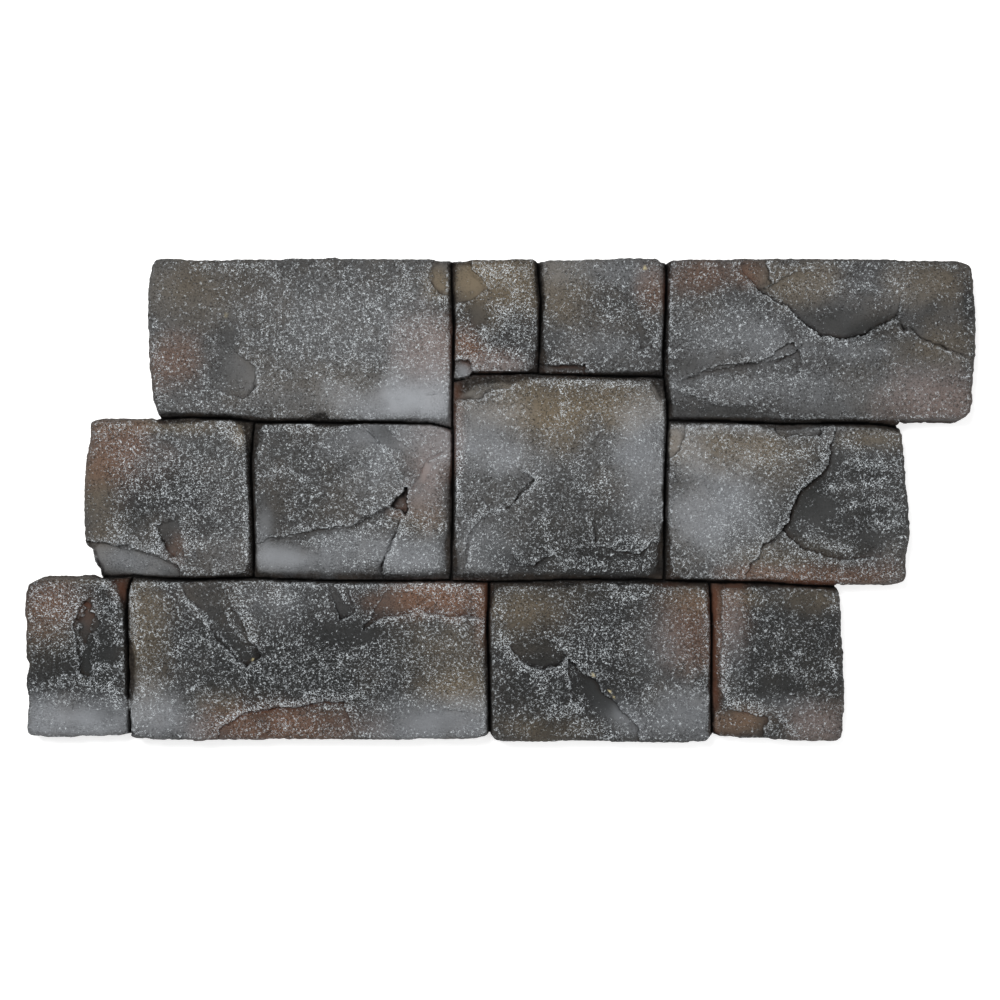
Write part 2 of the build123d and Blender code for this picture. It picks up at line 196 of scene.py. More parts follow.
def stone(block, left, top, right, bottom, arris, tone, dry_brush, seed):
    """Turns to the stone between these joints, on this block of the solid. Its face ends at the arris."""
    global here
    to_left = plan_x - np.interp(plan_y, left[::-1, 1], left[::-1, 0])
    to_right = np.interp(plan_y, right[::-1, 1], right[::-1, 0]) - plan_x
    to_top = np.interp(plan_x, top[:, 0], top[:, 1]) - plan_y
    to_bottom = plan_y - np.interp(plan_x, bottom[:, 0], bottom[:, 1])
    nearest = np.minimum.reduce((to_left, to_right, to_top, to_bottom))
    here = (to_left > 0.0) & (to_right >= 0.0) & (to_top >= 0.0) & (to_bottom > 0.0)
    stone_number[here] = seed
    x, y = plan_x[here], plan_y[here]
    from_joint[here] = nearest[here]
    undertone[here] = tone
    brushed[here] = dry_brush

    # The arris wanders a little and is chipped in places.
    chips = 4.0 * np.clip(roughness(x, y, 34.0, 3, seed + 34) - 0.4, 0.0, 1.0)
    from_arris[here] = within(arris, x, y) + 1.3 * roughness(x, y, 9.0, 3, seed + 30) - chips
    slot[here] = 1.8 + 1.0 * roughness(x, y, 30.0, 3, seed + 38)

    # The solid's own face and clefts, drawn a little out of true so that no break runs straight.
    block_left, block_right, block_bottom, block_top = block
    x_drawn = x + 1.2 * lumps(x, y, 34.0, seed) + 3.0 * roughness(x, y, 17.0, 3, seed + 1)
    y_drawn = y + 1.2 * lumps(x, y, 34.0, seed + 5) + 3.0 * roughness(x, y, 17.0, 3, seed + 6)
    x_drawn = np.clip(x_drawn, block_left + flank_draft, block_right - flank_draft)
    y_drawn = np.clip(y_drawn, block_bottom + flank_draft, block_top - flank_draft)
    down = Vector((0.0, 0.0, -1.0))
    found = []
    for spot in zip(x_drawn / 1000.0, y_drawn / 1000.0):
        found.append(1000.0 * solid.ray_cast(Vector((*spot, 0.1)), down)[0].z)
    moulded[here] = found

    # The split face: broad swells, sharp crests between torn hollows, and a rough grain.
    torn[here] = 1.3 * roughness(x, y, 95.0, 2, seed + 11) - 1.5 * np.abs(roughness(x, y, 44.0, 3, seed + 13))
    torn[here] += 0.6 * roughness(x, y, 14.0, 3, seed + 16)

    # Every stone is also darkened a little towards its joints.
    rim = 0.08 * np.exp(-np.maximum(from_arris[here], 0.0) / 4.0)
    tints["soot"][here] = np.clip(rim * (1.0 + 0.8 * roughness(x, y, 40.0, 2, seed + 40)), 0.0, 0.6)


def near(line, reach):
    """The part of the grid within reach of a line."""
    (low_x, low_y), (high_x, high_y) = line.min(0) - reach, line.max(0) + reach
    columns = np.searchsorted(plan_x[0], (low_x, high_x))
    rows = np.searchsorted(plan_y[:, 0], (low_y, high_y))
    return slice(*rows), slice(*columns)


def shaken(place):
    """Grid places pushed about a little, so that a break never runs straight."""
    x, y = plan_x[place], plan_y[place]
    return x + 2.0 * roughness(x, y, 12.0, 3, 61), y + 2.0 * roughness(x, y, 12.0, 3, 65)


def ledge(marks, step, reach):
    """A step along a line. The right hand side is low, and comes back up over its reach."""
    line = on_panel(marks)
    place = near(line, reach + 6.0)
    gap, side, share = along(line, *shaken(place))
    ends = np.clip(7.0 * np.minimum(share, 1.0 - share), 0.0, 1.0)
    ends *= 1.0 + 0.5 * roughness(plan_x[place], plan_y[place], 22.0, 2, 67)
    low = np.where(side < 0.0, np.clip(1.0 - gap / reach, 0.0, 1.0) ** 1.4, 0.0)
    lip = np.where(side >= 0.0, 0.25 * np.exp(-gap / 3.0), 0.0)
    relief[place] += here[place] * step * ends * (lip - low)


def crack(marks, depth, width):
    """A narrow open crack along a line."""
    line = on_panel(marks)
    place = near(line, 4.0 * width + 6.0)
    gap, _, share = along(line, *shaken(place))
    ends = np.clip(6.0 * np.minimum(share, 1.0 - share) + 0.25, 0.0, 1.0)
    ends *= 0.8 + 0.8 * roughness(plan_x[place], plan_y[place], 16.0, 2, 68)
    relief[place] -= here[place] * depth * ends * np.exp(-((gap / width) ** 2))


def flake(marks, depth, clean=0.6):
    """A piece that has come away inside a closed line, down to a floor that may have split clean."""
    place = near(on_panel(marks), 8.0)
    deep = within(marks, *shaken(place))
    relief[place] -= here[place] * depth * fade(deep, -0.6, 2.2)
    cleaved[place] = np.maximum(cleaved[place], here[place] * clean * fade(deep, -0.5, 2.0))


def oval(across, down, half_wide, half_tall, turn=0.0):
    """How far out from the middle of an oval places lie, its edge being 1."""
    middle = on_panel([(across, down)])
    place = near(middle, sheet_square * 2.4 * max(half_wide, half_tall))
    x, y = shaken(place)
    x, y = x - middle[0, 0], y - middle[0, 1]
    cos, sin = np.cos(np.radians(turn)), np.sin(np.radians(turn))
    out_x = (cos * x + sin * y) / (sheet_square * half_wide)
    out_y = (cos * y - sin * x) / (sheet_square * half_tall)
    return place, np.hypot(out_x, out_y)


def pit(across, down, half_wide, half_tall, depth, turn=0.0):
    """A ragged hollow, deepest in the middle."""
    place, out = oval(across, down, half_wide, half_tall, turn)
    relief[place] -= here[place] * depth * (1.0 - fade(out, 0.45, 1.1))


def cleave(*patches):
    """Places where the stone split clean, with no grain for the dry brush to catch on."""
    for patch in patches:
        place, out = oval(*patch)
        cleaved[place] = np.maximum(cleaved[place], here[place] * (1.0 - fade(out, 0.6, 1.3)))


def spray(tint, *passes):
    """Passes of the airbrush, soft at the edge, on the stone in hand."""
    for across, down, half_wide, half_tall, strength, *turn in passes:
        place, out = oval(across, down, half_wide, half_tall, *turn)
        blotch = 0.5 * roughness(plan_x[place], plan_y[place], 48.0, 4, 71)
        cover = here[place] * strength * (1.0 - fade(out + blotch, 0.2, 1.75))
        tints[tint][place] = 1.0 - (1.0 - tints[tint][place]) * (1.0 - cover)


def brush(*parts):
    """More or less dry brush on parts of the stone in hand."""
    for across, down, half_wide, half_tall, amount in parts:
        place, out = oval(across, down, half_wide, half_tall)
        brushed[place] += here[place] * amount * (1.0 - fade(out, 0.4, 1.5))


def drag(marks, width, amount):
    """One stroke of the dry brush along a line."""
    line = on_panel(marks)
    place = near(line, 3.0 * width + 6.0)
    gap = along(line, *shaken(place))[0]
    brushed[place] += here[place] * amount * np.exp(-((gap / width) ** 2))


def fleck(*chips):
    """Chips through the paint, where the cream foam shows."""
    for chip in chips:
        place, out = oval(*chip)
        cream[place] = np.maximum(cream[place], here[place] * (1.0 - fade(out, 0.5, 1.0)))


stone((-459.0, -62.0, 104.5, 313.5), plain_left, top_edge, tall_left, upper_bed, [
    (158, 262), (200, 262.5), (260, 262), (330, 261), (380, 262), (425, 263), (444, 265), (447, 272),
    (446.5, 300), (447, 330), (448, 360), (448.5, 385), (447, 405), (446, 416), (430, 416.5), (400, 418),
    (370, 418.5), (330, 418), (327, 412), (320, 408), (311, 410), (308, 416), (280, 416.5), (250, 415.5),
    (225, 412.5), (190, 411), (160, 410), (157, 404), (155, 390), (152, 365), (151, 345), (151, 320),
    (150, 300), (152, 280), (155, 267)], tone=0.48, dry_brush=0.5, seed=100)
flake([(434, 261), (431, 270), (432, 276), (428.5, 282), (431, 293), (437, 297), (443, 296), (447, 280),
       (447, 261)], 1.8)
ledge([(258, 372), (256, 386), (246, 399)], 1.4, 14.0)
crack([(424, 396), (437, 395), (449, 397)], 1.4, 1.2)
crack([(185, 357), (198, 354), (212, 352)], 1.0, 1.6)
pit(207, 345, 5, 3, 2.0, 20)
cleave((228, 334, 6, 10), (236, 370, 20, 14, -35))
spray("soot", (300, 272, 160, 16, 0.2), (228, 334, 9, 15, 0.35), (212, 367, 10, 12, 0.35))
spray("pale", (300, 396, 50, 14, 0.17), (355, 330, 70, 50, 0.13), (250, 372, 22, 16, 0.12),
      (412, 399, 56, 24, 0.95), (425, 370, 34, 46, 0.45))
spray("ochre", (185, 288, 46, 26, 0.35), (350, 385, 70, 20, 0.25), (438, 280, 12, 18, 0.9))
spray("rust", (170, 362, 26, 24, 0.55), (430, 356, 30, 34, 0.85))
brush((345, 325, 95, 50, 0.12), (185, 300, 40, 40, -0.15), (300, 400, 70, 16, -0.1),
      (410, 402, 40, 18, -0.4))
drag([(196, 264), (240, 265), (270, 268), (276, 276)], 7.0, 0.3)
drag([(404, 270), (408, 284), (402, 300)], 6.0, 0.3)
drag([(152, 300), (153, 345), (158, 400)], 6.0, 0.2)
fleck((225, 314, 3, 1.2), (230, 329, 1.2, 1.2))

# The thin header, between the plain slab and the short block
# A narrow stone with a slanting facet at its upper left and a square nick in the lower corner.
stone((-62.0, 50.0, 161.0, 313.5), tall_left, top_edge, header_right, tall_bed, [
    (459, 264), (466, 263), (500, 262.5), (530, 262), (533, 266), (532, 285), (534, 300), (536, 315),
    (536, 345), (532, 352), (531, 366), (527, 371), (500, 371.5), (475, 371), (470.5, 373), (469, 377.5),
    (455, 378.5), (455, 350), (455.5, 330), (456, 305), (457, 285)], tone=0.4, dry_brush=0.62, seed=200)
flake([(457, 262), (467, 262), (466, 270), (476, 279), (486, 292), (478, 293), (462, 291), (455, 288)], 0.9)
flake([(453, 360), (466, 360), (470, 362), (471, 372), (470, 380), (453, 380)], 1.6)
crack([(466, 269), (476, 279), (486, 292)], 1.6, 1.5)
cleave((478, 315, 7, 12), (500, 293, 12, 6))
spray("ochre", (470, 278, 20, 20, 0.8), (505, 282, 44, 36, 0.75))
spray("pale", (500, 364, 30, 8, 0.3), (462, 370, 9, 9, 0.7))
spray("soot", (470, 312, 16, 18, 0.35), (512, 326, 26, 22, 0.35))
spray("rust", (464, 345, 14, 16, 0.75), (490, 362, 32, 12, 0.6))
brush((470, 290, 14, 22, -0.4), (478, 315, 10, 16, -0.3))
drag([(484, 264), (492, 275), (508, 268)], 9.0, 0.35)
drag([(482, 325), (488, 345), (498, 358)], 5.0, 0.35)
drag([(512, 292), (508, 310), (498, 318)], 8.0, 0.3)

# The short block, beside the thin header
# Plain grain, with a dark dish at the right and a long nick along its foot.
stone((50.0, 212.0, 161.0, 313.5), header_right, top_edge, tall_right, tall_bed, [
    (545, 264), (570, 263), (620, 262), (657, 262), (661, 266), (661, 300), (662, 325), (661, 340),
    (660, 368), (640, 370), (610, 371), (590, 372), (560, 373), (546, 373.5), (549, 366), (549, 355),
    (545, 345), (544, 320), (546, 300), (545, 280), (543, 272)], tone=0.44, dry_brush=0.5, seed=300)
flake([(544, 366), (552, 364.5), (575, 364), (582, 367), (587, 372), (586, 377), (544, 377)], 2.0)
cleave((639, 330, 6, 10))
spray("ochre", (560, 290, 30, 30, 0.45))
spray("soot", (612, 306, 18, 10, 0.4), (640, 330, 18, 24, 0.3), (552, 345, 12, 20, 0.4),
      (565, 371, 34, 11, 0.97))
spray("rust", (653, 285, 14, 24, 0.55), (565, 370, 24, 5, 0.5))
spray("pale", (590, 345, 46, 16, 0.2), (605, 270, 60, 14, 0.28))
brush((552, 285, 12, 24, -0.25))
drag([(600, 308), (612, 318), (628, 308)], 6.0, 0.25)
drag([(640, 300), (650, 330), (658, 345)], 5.0, 0.3)
fleck((645, 268, 1.4, 1.4))

# The scalloped slab, at the upper right
# A great scallop has split out under its upper edge, and thin plates have come off below it.
stone((212.0, 613.0, 104.5, 313.5), tall_right, top_edge, scalloped_right, right_bed, [
    (672, 264), (690, 262.5), (740, 262), (800, 262), (850, 262), (900, 263), (955, 264.5), (963, 268),
    (966, 280), (969, 300), (970, 330), (970, 360), (968, 385), (966, 405), (956, 416), (930, 418.5),
    (890, 418.5), (850, 418), (800, 418), (782, 417), (770, 416), (720, 415.5), (690, 414.5), (676, 414),
    (675, 408), (672, 398), (670, 385), (669, 360), (669, 330), (669, 300), (670, 280)],
    tone=0.43, dry_brush=0.45, seed=400)
ledge([(771, 292), (764, 294), (756, 291), (751, 284), (741, 275), (736, 266)], 2.6, 30.0)
flake([(755, 264), (764, 267), (770, 277), (766, 287), (758, 285), (757, 275)], 1.2, 0.3)
crack([(778, 264), (776, 278), (771, 290)], 1.4, 1.6)
ledge([(972, 358), (964, 356), (952, 350), (940, 345), (922, 339), (910, 328), (899, 320),
       (890, 317)], 2.0, 34.0)
crack([(890, 317), (899, 320), (904, 330), (911, 328), (922, 339), (940, 345), (964, 356),
       (972, 358)], 3.2, 1.8)
crack([(850, 339), (864, 336), (877, 328), (893, 316)], 2.4, 2.4)
pit(902, 327, 7, 5, 2.6, -40)
ledge([(672, 386), (690, 377), (705, 371), (733, 367), (738, 363), (768, 361), (790, 355),
       (812, 338)], 2.0, 14.0)
crack([(766, 363), (776, 362), (790, 356), (797, 350), (806, 343)], 1.6, 1.4)
flake([(675, 391), (700, 400), (716, 405), (760, 406), (778, 412), (784, 420), (700, 421),
       (674, 418)], 1.6, 0.2)
pit(673, 361, 6, 4, 2.6)
pit(831, 357, 5, 3, 1.4)
cleave((848, 322, 26, 9, 12), (700, 366, 30, 8, 15))
spray("pale", (730, 335, 54, 26, 0.3), (775, 342, 34, 14, 0.3), (740, 385, 60, 14, 0.3),
      (850, 350, 40, 10, 0.3), (860, 290, 64, 22, 0.12), (860, 388, 76, 20, 0.22), (935, 395, 40, 30, 0.2))
spray("rust", (700, 276, 32, 15, 0.5), (748, 275, 14, 14, 0.5), (930, 397, 44, 22, 0.65))
spray("ochre", (800, 284, 40, 20, 0.6), (930, 282, 38, 20, 0.5), (940, 345, 34, 22, 0.35))
# The second pass of soot, at the scallop's lower right edge, is a painted shadow: dark streaks under the
# ledge.
spray("soot", (838, 322, 50, 18, 0.35, -8), (872, 326, 24, 8, 0.85, 25), (968, 300, 7, 26, 0.9),
      (720, 411, 50, 7, 0.5))
brush((720, 320, 50, 30, 0.1), (845, 315, 50, 20, -0.15), (830, 410, 60, 10, -0.2),
      (930, 320, 40, 60, -0.12))
drag([(770, 293), (790, 312), (810, 330), (830, 340)], 3.0, 0.5)
drag([(830, 290), (850, 286), (900, 290), (908, 280)], 9.0, 0.2)
drag([(700, 380), (740, 385), (800, 380)], 9.0, 0.2)

# The rusty block, at the left end of the middle course
# Its lower left corner is knocked off down to a smooth grey break.
stone((-536.0, -320.0, -104.5, 104.5), rusty_left, upper_bed, rusty_right, lower_bed, [
    (93, 424), (97, 421.5), (120, 421), (150, 422), (155, 425), (175, 426), (195, 423.5), (215, 421),
    (231, 421), (238, 427), (242, 437), (243, 452), (244, 470), (246, 490), (247, 510), (247.5, 530),
    (247, 550), (246.5, 562), (243, 571), (225, 574), (200, 574.5), (165, 573.5), (140, 573), (120, 572),
    (102, 570), (98, 566), (93, 552), (88, 546), (87, 530), (86.5, 500), (86.5, 470), (89, 452),
    (91.5, 438)], tone=0.44, dry_brush=0.56, seed=500)
flake([(85, 549), (90, 549), (98, 541), (116, 543), (121, 549), (141, 551), (158, 556), (168, 561),
       (185, 572), (180, 578), (100, 578)], 2.0)
flake([(157, 529), (160, 524), (172, 520), (178, 514), (180, 530), (178, 548), (174, 560), (170, 556),
       (160, 539)], 1.6)
crack([(156, 530), (162, 541), (168, 552), (174, 561)], 3.4, 1.6)
ledge([(158, 436), (172, 446), (180, 450)], 1.0, 12.0)
crack([(92, 547), (98, 542), (104, 541)], 1.6, 1.6)
pit(119, 546, 4, 4, 1.6)
spray("rust", (116, 452, 36, 36, 0.7), (176, 545, 8, 14, 0.4))
spray("ochre", (100, 495, 20, 40, 0.5), (165, 426, 60, 8, 0.5), (241, 430, 8, 14, 0.6))
spray("soot", (170, 500, 44, 26, 0.35), (165, 535, 12, 16, 0.5), (158, 500, 44, 24, 0.25),
      (145, 500, 44, 26, 0.45), (208, 526, 26, 12, 0.45))
spray("pale", (130, 562, 36, 12, 0.42, -12), (220, 548, 26, 18, 0.15))
brush((95, 500, 14, 50, -0.3), (185, 480, 60, 36, 0.08), (215, 556, 30, 14, -0.1),
      (150, 520, 26, 14, -0.15))
drag([(112, 515), (120, 535), (112, 545)], 6.0, 0.25)
drag([(155, 528), (160, 542), (150, 553)], 6.0, 0.45)
drag([(182, 528), (186, 545), (200, 545)], 6.0, 0.3)
drag([(220, 424), (232, 435), (240, 440)], 6.0, 0.4)
drag([(246, 460), (247, 500), (247, 560)], 3.0, 0.5)

# The cracked block, beside the rusty block
# Cracks part it into four plates about a pit. The lower plate is smooth and pale.
stone((-320.0, -62.0, -104.5, 104.5), rusty_right, upper_bed, tall_left, lower_bed, [
    (264, 426), (272, 424), (290, 424), (310, 424), (316, 428), (330, 429), (345, 427), (354, 425),
    (359, 424), (375, 424), (400, 424.5), (425, 425.5), (440, 428), (449, 433), (450, 452), (448, 465),
    (446, 480), (445, 500), (446, 530), (441, 540), (438, 548), (443, 560), (443, 568), (425, 570),
    (400, 571), (383, 570), (360, 568), (330, 569), (310, 567), (285, 569.5), (258, 569), (257, 555),
    (257, 540), (256, 510), (255.5, 490), (256, 470), (257, 455), (261, 440)],
    tone=0.43, dry_brush=0.52, seed=600)
ledge([(300, 534), (309, 531), (316, 527), (335, 530), (352, 527), (365, 519), (380, 512), (390, 505),
       (397, 497)], 1.8, 14.0)
crack([(256, 550), (270, 541), (283, 538), (295, 541), (303, 547)], 1.6, 1.5)
crack([(303, 547), (311, 543), (317, 540), (345, 533), (365, 524), (390, 513)], 0.8, 1.4)
ledge([(362, 425), (372, 436), (382, 447), (392, 464), (399, 478), (402, 490)], 2.4, 20.0)
flake([(364, 423), (380, 423), (400, 440), (412, 452), (404, 452), (395, 449), (382, 447), (372, 436)], 1.6)
crack([(403, 514), (396, 530), (391, 541), (385, 555), (381, 566), (380, 575)], 2.6, 1.8)
pit(381, 569, 4, 8, 2.2)
crack([(406, 492), (412, 489), (417, 482), (420, 473), (424, 463), (430, 458), (440, 454),
       (451, 452)], 2.8, 1.7)
flake([(424, 463), (434, 461), (430, 471), (424, 483), (417, 485)], 2.0)
flake([(388, 502), (396, 497), (404, 491), (406, 502), (403, 513), (396, 512)], 1.5, 0.4)
ledge([(281, 469), (270, 470), (257, 475)], 1.2, 12.0)
ledge([(313, 491), (305, 483), (296, 473), (286, 469)], 1.2, 14.0)
cleave((282, 556, 26, 12), (362, 436, 14, 10), (415, 500, 10, 8), (266, 520, 8, 20))
spray("soot", (290, 490, 34, 40, 0.2), (385, 434, 20, 10, 0.55, -45), (397, 503, 8, 9, 0.6))
spray("pale", (352, 440, 26, 14, 0.35), (415, 440, 50, 30, 0.6), (420, 488, 24, 22, 0.4),
      (374, 480, 26, 24, 0.25), (288, 560, 44, 14, 0.65), (375, 552, 60, 20, 0.4), (420, 556, 30, 18, 0.5),
      (338, 548, 34, 12, 0.35), (262, 540, 8, 24, 0.4))
spray("rust", (432, 450, 30, 40, 0.65), (426, 472, 8, 14, 0.7), (420, 500, 20, 24, 0.45),
      (397, 513, 8, 3, 0.6))
spray("ochre", (418, 520, 22, 20, 0.4))
brush((290, 560, 46, 12, -0.3), (425, 470, 16, 30, -0.15), (374, 478, 20, 24, 0.1),
      (268, 520, 14, 30, -0.2))
drag([(359, 425), (380, 447), (398, 477), (401, 490)], 3.0, 0.4)
drag([(256, 475), (280, 470), (300, 476), (314, 491)], 4.0, 0.45)
drag([(345, 535), (380, 520), (400, 530)], 6.0, 0.3)
drag([(304, 546), (312, 541), (340, 534)], 3.0, 0.4)
drag([(262, 428), (300, 428), (358, 426)], 4.0, 0.35)
drag([(404, 514), (408, 530), (440, 525)], 8.0, 0.15)

# The tall block, in the middle
# It stands up into the top course, over a dark foot, with a dish on its left.
stone((-62.0, 212.0, -104.5, 161.0), tall_left, tall_bed, tall_right, lower_bed, [
    (457, 401), (470, 399), (478, 390), (484, 388.5), (500, 386.5), (517, 384), (528, 381.5), (535, 380),
    (560, 381), (590, 381), (620, 382), (648, 383), (650, 388), (656, 400), (661, 403), (663, 420),
    (662.5, 440), (662, 460), (662, 490), (662, 520), (659, 530), (654, 545), (652, 555), (650, 568),
    (645, 573), (620, 574), (590, 573), (560, 572), (530, 571), (500, 570), (480, 569), (461, 571),
    (459, 560), (456.5, 545), (455.5, 520), (456, 490), (456.5, 460), (457, 430), (456.5, 415)],
    tone=0.47, dry_brush=0.5, seed=700)
ledge([(503, 508), (512, 505), (515, 499), (520, 491), (530, 482), (536, 476)], 1.8, 16.0)
crack([(508, 507), (514, 502), (518, 494), (528, 483)], 1.4, 1.5)
ledge([(463, 562), (465, 548), (467, 538), (472, 529), (480, 519), (490, 513), (503, 508)], 2.2, 12.0)
ledge([(508, 543), (512, 555), (518, 563), (533, 565), (543, 559), (552, 551)], 2.4, 16.0)
crack([(510, 552), (518, 562), (533, 565), (545, 558)], 1.2, 1.3)
ledge([(577, 452), (587, 449), (592, 440), (603, 430), (608, 421), (617, 412)], 1.6, 16.0)
ledge([(595, 545), (594, 530), (592, 518)], 2.2, 10.0)
crack([(595, 546), (594, 532), (592, 520)], 1.4, 1.3)
ledge([(557, 388), (559, 402), (560, 420)], 0.9, 14.0)
flake([(455, 391), (479, 388), (472, 398), (458, 402)], 2.0)
flake([(649, 384), (662, 383), (662, 402), (655, 400)], 2.0)
crack([(610, 493), (625, 489), (645, 486)], 0.9, 1.4)
spray("pale", (484, 434, 32, 34, 0.5), (505, 458, 30, 20, 0.5), (644, 465, 28, 60, 0.6),
      (492, 552, 34, 20, 0.45))
spray("ochre", (556, 406, 80, 26, 0.9), (620, 400, 34, 20, 0.6), (560, 440, 34, 16, 0.3))
spray("soot", (575, 390, 60, 14, 0.3), (514, 500, 12, 6, 0.3), (585, 520, 60, 36, 0.55),
      (595, 560, 84, 22, 0.97), (600, 570, 66, 10, 0.8), (585, 545, 46, 22, 0.35), (525, 535, 34, 20, 0.3))
spray("rust", (456, 430, 6, 40, 0.7))
brush((478, 420, 18, 24, -0.12), (540, 405, 20, 18, -0.2), (640, 465, 20, 30, -0.08))
drag([(458, 455), (458, 500)], 3.0, 0.5)
drag([(536, 381), (600, 382), (650, 384)], 4.0, 0.4)
drag([(560, 390), (562, 420), (550, 430)], 6.0, 0.3)
drag([(538, 478), (520, 495), (490, 512), (470, 520)], 4.0, 0.4)
drag([(545, 515), (546, 540), (552, 552)], 5.0, 0.35)
drag([(575, 460), (575, 485), (600, 490), (608, 475)], 8.0, 0.25)
drag([(612, 541), (630, 540), (652, 543), (655, 560)], 4.0, 0.4)
drag([(562, 560), (600, 565), (640, 560)], 8.0, 0.2)

# The scooped slab, at the right end of the middle course
# Its right half is scooped out, smooth and dark. Its left half is grained and pale.
stone((212.0, 528.0, -104.5, 104.5), tall_right, right_bed, scooped_right, lower_bed, [
    (672, 426), (690, 425.5), (710, 425.2), (740, 425.2), (760, 426), (769, 431), (780, 433), (800, 433),
    (810, 430), (820, 428), (838, 427), (855, 428), (875, 429.5), (893, 432), (897, 437), (898, 450),
    (900, 470), (902, 495), (904, 515), (904, 535), (902, 550), (900, 565), (899, 575), (893, 578),
    (870, 578), (840, 579), (800, 579), (770, 578), (740, 578.5), (710, 578), (685, 577), (675, 574),
    (673, 560), (671, 540), (669, 520), (669, 490), (670, 465), (670, 445)],
    tone=0.47, dry_brush=0.52, seed=800)
ledge([(838, 430), (835, 437), (830, 445), (826, 452), (829, 462), (826, 469), (822, 474), (812, 480),
       (800, 488), (797, 497), (795, 508), (790, 515), (789, 521), (792, 530)][::-1], 1.6, 24.0)
crack([(800, 489), (797, 497), (794, 508), (790, 516), (790, 525)], 2.0, 1.8)
crack([(784, 531), (776, 540), (765, 543), (757, 550), (751, 560), (742, 568), (737, 577)], 1.8, 1.6)
flake([(668, 430), (680, 428), (684, 436), (683, 445), (680, 455), (668, 460)], 1.6, 0.4)
flake([(812, 433), (818, 428), (830, 428), (837, 433), (830, 437), (815, 436)], 1.6, 0.3)
ledge([(770, 433), (784, 435), (800, 434), (812, 434)][::-1], 1.6, 8.0)
ledge([(850, 432), (856, 445), (858, 455)], 1.0, 14.0)
crack([(778, 572), (795, 573), (799, 578), (800, 584)], 1.6, 1.5)
ledge([(742, 490), (748, 484), (752, 478)], 0.8, 10.0)
cleave((818, 508, 18, 16), (872, 538, 16, 8), (872, 440, 14, 5))
spray("ochre", (726, 448, 56, 22, 0.75), (780, 470, 30, 24, 0.3), (872, 440, 30, 10, 0.6),
      (790, 556, 52, 16, 0.5), (676, 443, 9, 17, 0.7))
spray("pale", (740, 426, 80, 7, 0.35), (735, 456, 26, 16, 0.15), (712, 512, 50, 38, 0.65),
      (690, 455, 20, 26, 0.4))
spray("soot", (850, 512, 66, 46, 0.75), (868, 466, 36, 24, 0.7), (885, 522, 28, 30, 0.35),
      (822, 484, 28, 9, 0.8, 25), (800, 512, 14, 24, 0.5, -15), (862, 562, 50, 20, 0.35),
      (690, 572, 20, 6, 0.5), (792, 534, 34, 26, 0.3))
spray("rust", (820, 576, 86, 10, 0.9), (885, 565, 18, 12, 0.4))
brush((830, 510, 40, 24, -0.1), (690, 500, 24, 40, -0.15), (735, 530, 34, 30, 0.12),
      (775, 556, 30, 16, 0.1))
drag([(834, 438), (826, 454), (812, 476), (798, 490)], 4.0, 0.45)
drag([(826, 488), (850, 487), (870, 484), (885, 482)], 4.0, 0.45)
drag([(840, 510), (860, 505), (880, 499), (895, 505)], 4.0, 0.45)
drag([(826, 520), (835, 528)], 3.0, 0.4)
drag([(876, 520), (884, 527), (898, 522)], 4.0, 0.45)
drag([(858, 462), (880, 463), (895, 466)], 7.0, 0.35)
drag([(812, 535), (830, 545), (850, 552)], 7.0, 0.3)
drag([(845, 440), (855, 448), (853, 455)], 5.0, 0.4)
drag([(745, 455), (760, 462), (790, 455), (820, 450)], 8.0, 0.25)

# The end block, at the lower left
# Rust above, a chain of pits down the middle, and a pale slope below.
stone((-613.0, -477.0, -313.5, -104.5), end_left, lower_bed, end_right, bottom_edge, [
    (30, 586), (34, 582), (60, 581), (90, 580.5), (104, 581), (110, 584), (114, 592), (118, 600),
    (121, 604), (122, 620), (123, 640), (124, 660), (124, 680), (124, 695), (126, 700), (126, 712),
    (124, 720), (123, 730), (118, 733), (90, 734), (60, 734.5), (34, 734), (30, 730), (30, 715), (31, 700),
    (29, 682), (31, 668), (29, 650), (28, 625), (28, 600)], tone=0.38, dry_brush=0.56, seed=900)
flake([(80, 601), (90, 597), (93, 605), (88, 612), (94, 614), (99, 622), (96, 630), (88, 634), (84, 648),
       (79, 640), (76, 633), (80, 628), (74, 620), (82, 615), (86, 608)], 3.0, 0.8)
flake([(83, 648), (92, 649), (93, 662), (92, 678), (85, 679), (79, 671), (79, 660)], 1.2)
flake([(111, 582), (129, 578), (128, 592), (122, 602), (117, 597), (114, 590)], 2.0)
ledge([(62, 701), (69, 702), (75, 710)][::-1], 1.6, 9.0)
crack([(98, 615), (99, 622), (96, 630)], 1.6, 1.6)
cleave((80, 716, 30, 8), (110, 655, 10, 8))
spray("rust", (54, 608, 28, 28, 0.7), (88, 618, 8, 18, 0.6), (120, 590, 9, 10, 0.5))
spray("ochre", (50, 640, 26, 24, 0.45), (75, 579, 50, 4, 0.6))
spray("soot", (100, 645, 34, 54, 0.95), (55, 668, 40, 22, 0.85), (88, 655, 30, 24, 0.4),
      (52, 642, 28, 16, 0.3), (86, 664, 8, 15, 0.6))
spray("pale", (78, 718, 62, 22, 0.8), (78, 734, 60, 10, 0.6))
brush((55, 605, 28, 22, 0.12), (55, 670, 30, 14, -0.25), (78, 718, 50, 14, -0.15),
      (104, 645, 20, 26, -0.18))
drag([(50, 685), (62, 678), (85, 683), (110, 690), (120, 705)], 7.0, 0.35)
drag([(78, 632), (81, 645), (79, 665)], 3.0, 0.5)
drag([(100, 668), (115, 665), (124, 660)], 6.0, 0.4)
drag([(100, 582), (110, 586), (117, 600)], 4.0, 0.5)
drag([(112, 618), (120, 632), (118, 640)], 6.0, 0.3)
fleck((83, 680, 1.0, 1.0))

